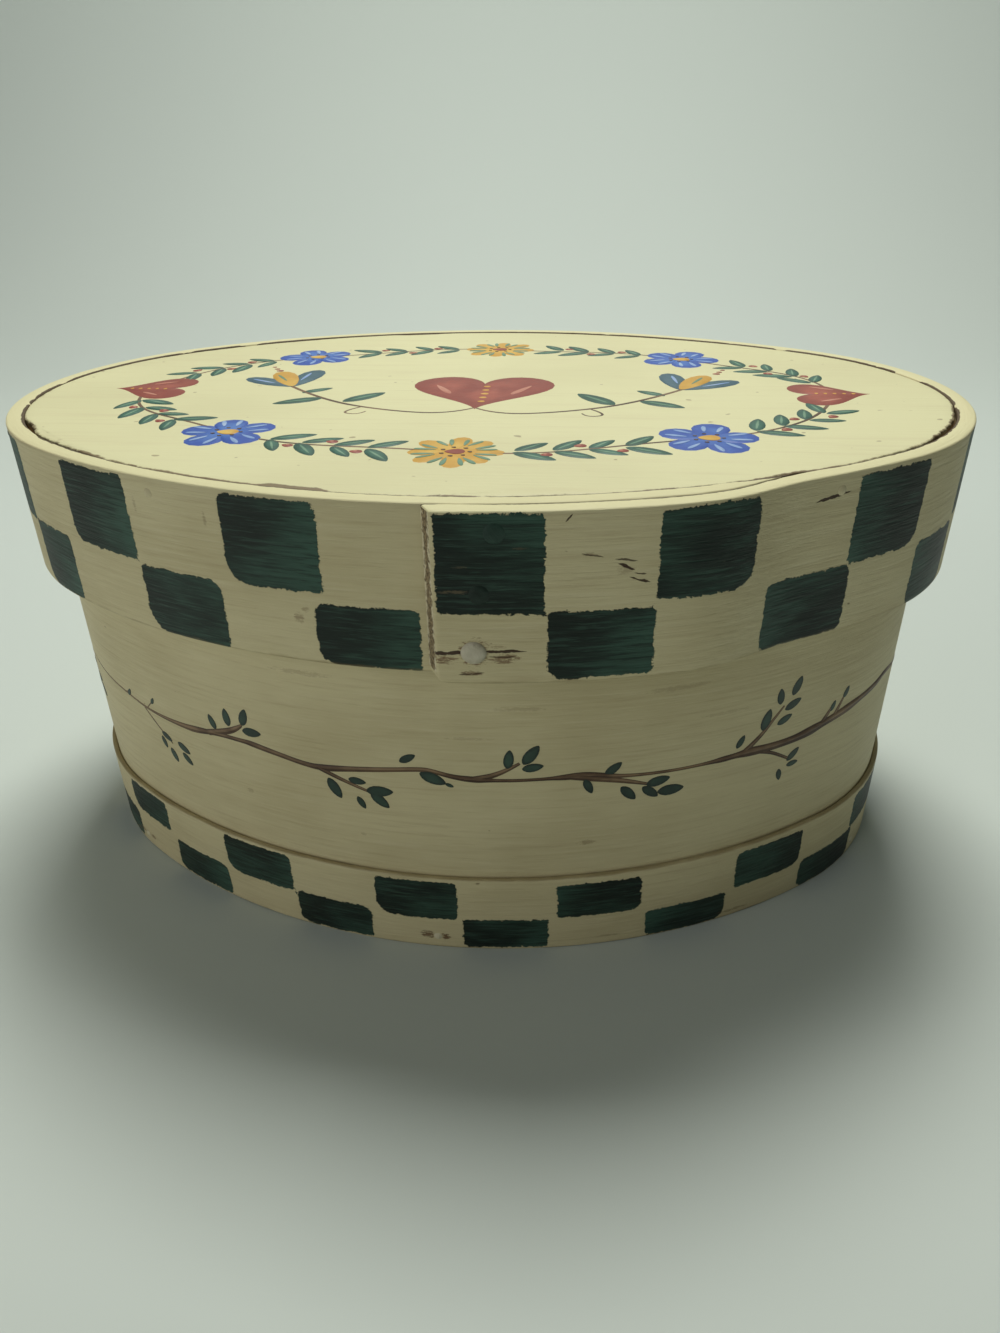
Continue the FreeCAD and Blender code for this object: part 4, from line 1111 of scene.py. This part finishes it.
def lay(shade, outline, place, turn, layer):
    """One stroke of the wreath, in millimetres, as uneven as a hand makes it, at its layer."""
    size = wreath_hand.uniform(0.94, 1.06) * mm
    lean = turn + wreath_hand.uniform(-0.07, 0.07)
    outline = [(across * size, up * size) for across, up in outline]
    dab(wreath_paints[shade], outline, place[0] * mm, place[1] * mm, lean, paint_layer * (1 + layer))


def beside(place, turn, along, across=0):
    """A place that lies that far along a direction, and that far to its left."""
    return (place[0] + along * math.cos(turn) - across * math.sin(turn),
            place[1] + along * math.sin(turn) + across * math.cos(turn))


def flower(place, turn, shades, petals, radius):
    """A flower: broad petals with a paler stroke on each, and a dotted middle."""
    for number, petal_turn in enumerate(even_turns(petals)):
        way = turn + petal_turn
        lay(shades[0], petal_outline(radius, radius * 4.6 / petals), place, way, number % 2 * 0.4)
        for side in (-1, 1):
            start = beside(place, way, radius * 0.42, side * radius * 0.13)
            lay(shades[1], petal_outline(radius * 0.45, radius * 0.13), start, way + side * 0.16, 1.6)
    middle = beside(place, 0, -radius * 0.22)
    lay(shades[2], petal_outline(radius * 0.44, radius * 0.44), middle, 0, 2.2)
    for way in even_turns(7):
        dot = beside(place, way, radius * 0.3)
        lay("brown", petal_outline(0.9, 0.9), (dot[0] - 0.45, dot[1]), 0, 2.6)


def heart(place, turn, size):
    """A heart with a paler stroke down each side and a row of dots inside."""
    lay("red", heart_outline(size), place, turn, 0.3)
    for side in (-1, 1):
        shoulder = beside(place, turn, side * size * 0.36, size * 0.2)
        lay("rose", petal_outline(size * 0.3, size * 0.07), shoulder,
            turn - math.pi / 2 - side * 0.5, 1.3)
    for number in range(5):
        dot = beside(place, turn, 0, size * (0.17 - number * 0.11))
        lay("ochre", petal_outline(size * 0.055, size * 0.055), dot, turn, 1.3)


def leaf(place, turn, length):
    """A leaf with a paler vein, starting at a place."""
    middle = beside(place, turn, length / 2)
    lay("green", leaf_outline(length, length * 0.42), middle, turn, 0)
    lay("pale_green", leaf_outline(length * 0.72, length * 0.08, 8), middle, turn, 0.9)


def round_wreath(share, off=0):
    """A place at a share of the way round the wreath, and the direction round it there."""
    point, outward = (part[0] for part in on_oval(np.array([share * wreath_length]), wreath_inset))
    place = point / mm + outward * off
    return (place[0], place[1]), math.atan2(outward[0], -outward[1])


stations = 8
for station in range(stations):
    place, along = round_wreath(station / stations)
    way_out = along - math.pi / 2
    if station == 0 or station == 4:
        flower(place, way_out, ("ochre", "pale_green", "red"), petals=8, radius=9.5)
    elif station % 2:
        flower(place, way_out, ("blue", "pale_blue", "ochre"), petals=5, radius=9.8)
    else:
        heart(place, way_out + math.pi / 2, size=19)
    for pair in range(4):
        share = (station + 0.225 + pair * 0.143) / stations
        for side in (-1, 1):
            stem, way = round_wreath(share, side * 0.3)
            leaf(stem, way - side * wreath_hand.uniform(0.6, 0.85), wreath_hand.uniform(7.5, 9.5))
        if pair:
            side = 1 if pair % 2 else -1
            berry, way = round_wreath(share - 0.03 / stations, side * 2.4)
            lay("red", petal_outline(2.5, 2.5), beside(berry, way, -1.2), way, 0.5)
            lay("rose", petal_outline(0.9, 0.9), beside(berry, way, -0.6, 0.4), way, 1.4)
heart((0, -1), 0, size=32)
for side in (-1, 1):
    cup = (side * 47, 3)
    for lean, shade in ((-0.55, "slate"), (0.55, "slate"), (0, "ochre")):
        way = math.pi / 2 - side * 0.5 + lean
        lay(shade, petal_outline(17, 7.5), cup, way, 0.4 if lean else 1)
        start = beside(cup, way, 6)
        lay("pale_blue" if lean else "pale_green", petal_outline(8, 1), start, way, 1.8)
    for start, way, length in (((31, -11), 2.3, 12), ((37, -8), -0.5, 11), ((43, -3), 2.5, 8)):
        leaf((start[0] * side, start[1]), way if side > 0 else math.pi - way, length)
    for number in range(3):
        dot = beside(cup, math.pi / 2 - side * 0.5, 19 + number * 2.4)
        lay("red", petal_outline(1.8 - number * 0.3, 1.8 - number * 0.3), dot, 0, 0.6)

ring = [(*round_wreath(number / 64, 1.1 * math.sin(number * math.pi / 4))[0], 0.8)
        for number in range(65)]
stems = [[(0, -15, 0.7), (side * 5, -20.5, 0.8), (side * 19, -18.5, 0.9), (side * 36, -10, 1.1),
          (side * 47, 3, 1)] for side in (-1, 1)]
tendrils = [[(side * 26, -15.5, 0.6), (side * 30, -20, 0.6), (side * 25, -22, 0.5),
             (side * 24, -19, 0.4)] for side in (-1, 1)]
wreath_paints["twig"] = brushed_line("wreath_twig", [ring] + stems + tendrils, flatness=0.1)
wreath_shades["twig"] = ((0.075, 0.038, 0.020), (0.20, 0.12, 0.065))
on_top = Matrix(((1, 0, 0, 0), (0, 0, 1, 0), (0, -1, 0, top_level), (0, 0, 0, 1)))
for shade, bm in wreath_paints.items():
    bmesh.ops.recalc_face_normals(bm, faces=bm.faces[:])
    bmesh.ops.transform(bm, matrix=on_top, verts=bm.verts[:])
    paint = wood_paint if shade == "twig" else leaf_paint
    strokes = dressed("wreath_" + shade, bm, paint("wreath_" + shade, *wreath_shades[shade], False))
    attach(strokes, "lid")

# Floor, light and camera
# A plain pale sweep under and behind the box, a wide soft lamp above and a little behind it, a
# weaker one in front, and a camera where the photograph was taken from.
floor_width = 12.0
floor_front = -6.0
floor_back = 0.45
sweep_radius = 0.4
sweep_height = 2.4
sweep = bmesh.new()
bmesh.ops.create_grid(sweep, x_segments=1, y_segments=1, size=0.5)
bmesh.ops.transform(sweep, verts=sweep.verts[:], matrix=Matrix(
    ((floor_width, 0, 0, 0), (0, floor_back - floor_front, 0, (floor_back + floor_front) / 2),
     (0, 0, 1, 0), (0, 0, 0, 1))))
back_edge = [edge for edge in sweep.edges if all(vert.co.y > 0 for vert in edge.verts)]
curved = bmesh.ops.spin(sweep, geom=back_edge + list(back_edge[0].verts),
                        cent=(0, floor_back, sweep_radius), axis=(1, 0, 0), angle=math.pi / 2,
                        steps=24, use_merge=False)["geom_last"]
risen = bmesh.ops.extrude_edge_only(
    sweep, edges=[part for part in curved if isinstance(part, bmesh.types.BMEdge)])["geom"]
bmesh.ops.translate(sweep, vec=(0, 0, sweep_height),
                    verts=[part for part in risen if isinstance(part, bmesh.types.BMVert)])
floor_paint = Finish("floor_paper")
floor_noise = floor_paint.noise(floor_paint.object_place(), (3, 3, 3), 2, 0.5)
floor_paint.finish(floor_paint.blend(floor_noise, (0.61, 0.675, 0.64), (0.64, 0.705, 0.665)),
                   floor_noise * 0.05 + 0.8, floor_noise * 0.0001)
floor = dressed("floor", sweep, floor_paint)


def soft_lamp(name, place, aim, size, watts, colour):
    """A square area lamp at a place, pointed at another."""
    lamp = bpy.data.lights.new(name, "AREA")
    lamp.shape = "SQUARE"
    lamp.size = size
    lamp.energy = watts
    lamp.color = colour
    holder = bpy.data.objects.new(name, lamp)
    holder.location = place
    holder.rotation_euler = (Vector(aim) - Vector(place)).to_track_quat("-Z", "Y").to_euler()
    bpy.context.scene.collection.objects.link(holder)


soft_lamp("top_lamp", place=(0, 0.34, 1.0), aim=(0, 0, 0.08), size=0.36, watts=8.6,
          colour=(1.0, 0.99, 0.92))
soft_lamp("front_lamp", place=(-1.1, -1.0, 0.55), aim=(0, 0, 0.06), size=1.0, watts=4.8,
          colour=(1.0, 0.985, 0.94))
world = bpy.data.worlds.new("room")
world.use_nodes = True
room_light = world.node_tree.nodes["Background"]
room_light.inputs["Color"].default_value = (0.93, 1.0, 0.95, 1)
room_light.inputs["Strength"].default_value = 0.09
bpy.context.scene.world = world

camera_place = Vector((0.0252, -0.2223, 0.1616))
camera_yaw = -0.098
camera_pitch = 0.525
camera_roll = -0.015
photo_width = 1000
photo_focal = 926.7
camera_data = bpy.data.cameras.new("camera")
camera_data.sensor_fit = "HORIZONTAL"
camera_data.lens = camera_data.sensor_width * photo_focal / photo_width
camera_data.clip_start = 0.01
camera = bpy.data.objects.new("camera", camera_data)
ahead = Vector((math.sin(camera_yaw) * math.cos(camera_pitch),
                math.cos(camera_yaw) * math.cos(camera_pitch), -math.sin(camera_pitch)))
level = Vector((math.cos(camera_yaw), -math.sin(camera_yaw), 0))
upright = level.cross(ahead)
rightward = level * math.cos(camera_roll) + upright * math.sin(camera_roll)
upward = upright * math.cos(camera_roll) - level * math.sin(camera_roll)
camera.matrix_world = Matrix(((rightward.x, upward.x, -ahead.x, camera_place.x),
                              (rightward.y, upward.y, -ahead.y, camera_place.y),
                              (rightward.z, upward.z, -ahead.z, camera_place.z), (0, 0, 0, 1)))
bpy.context.scene.collection.objects.link(camera)
bpy.context.scene.camera = camera
bpy.context.scene.view_settings.view_transform = "Standard"
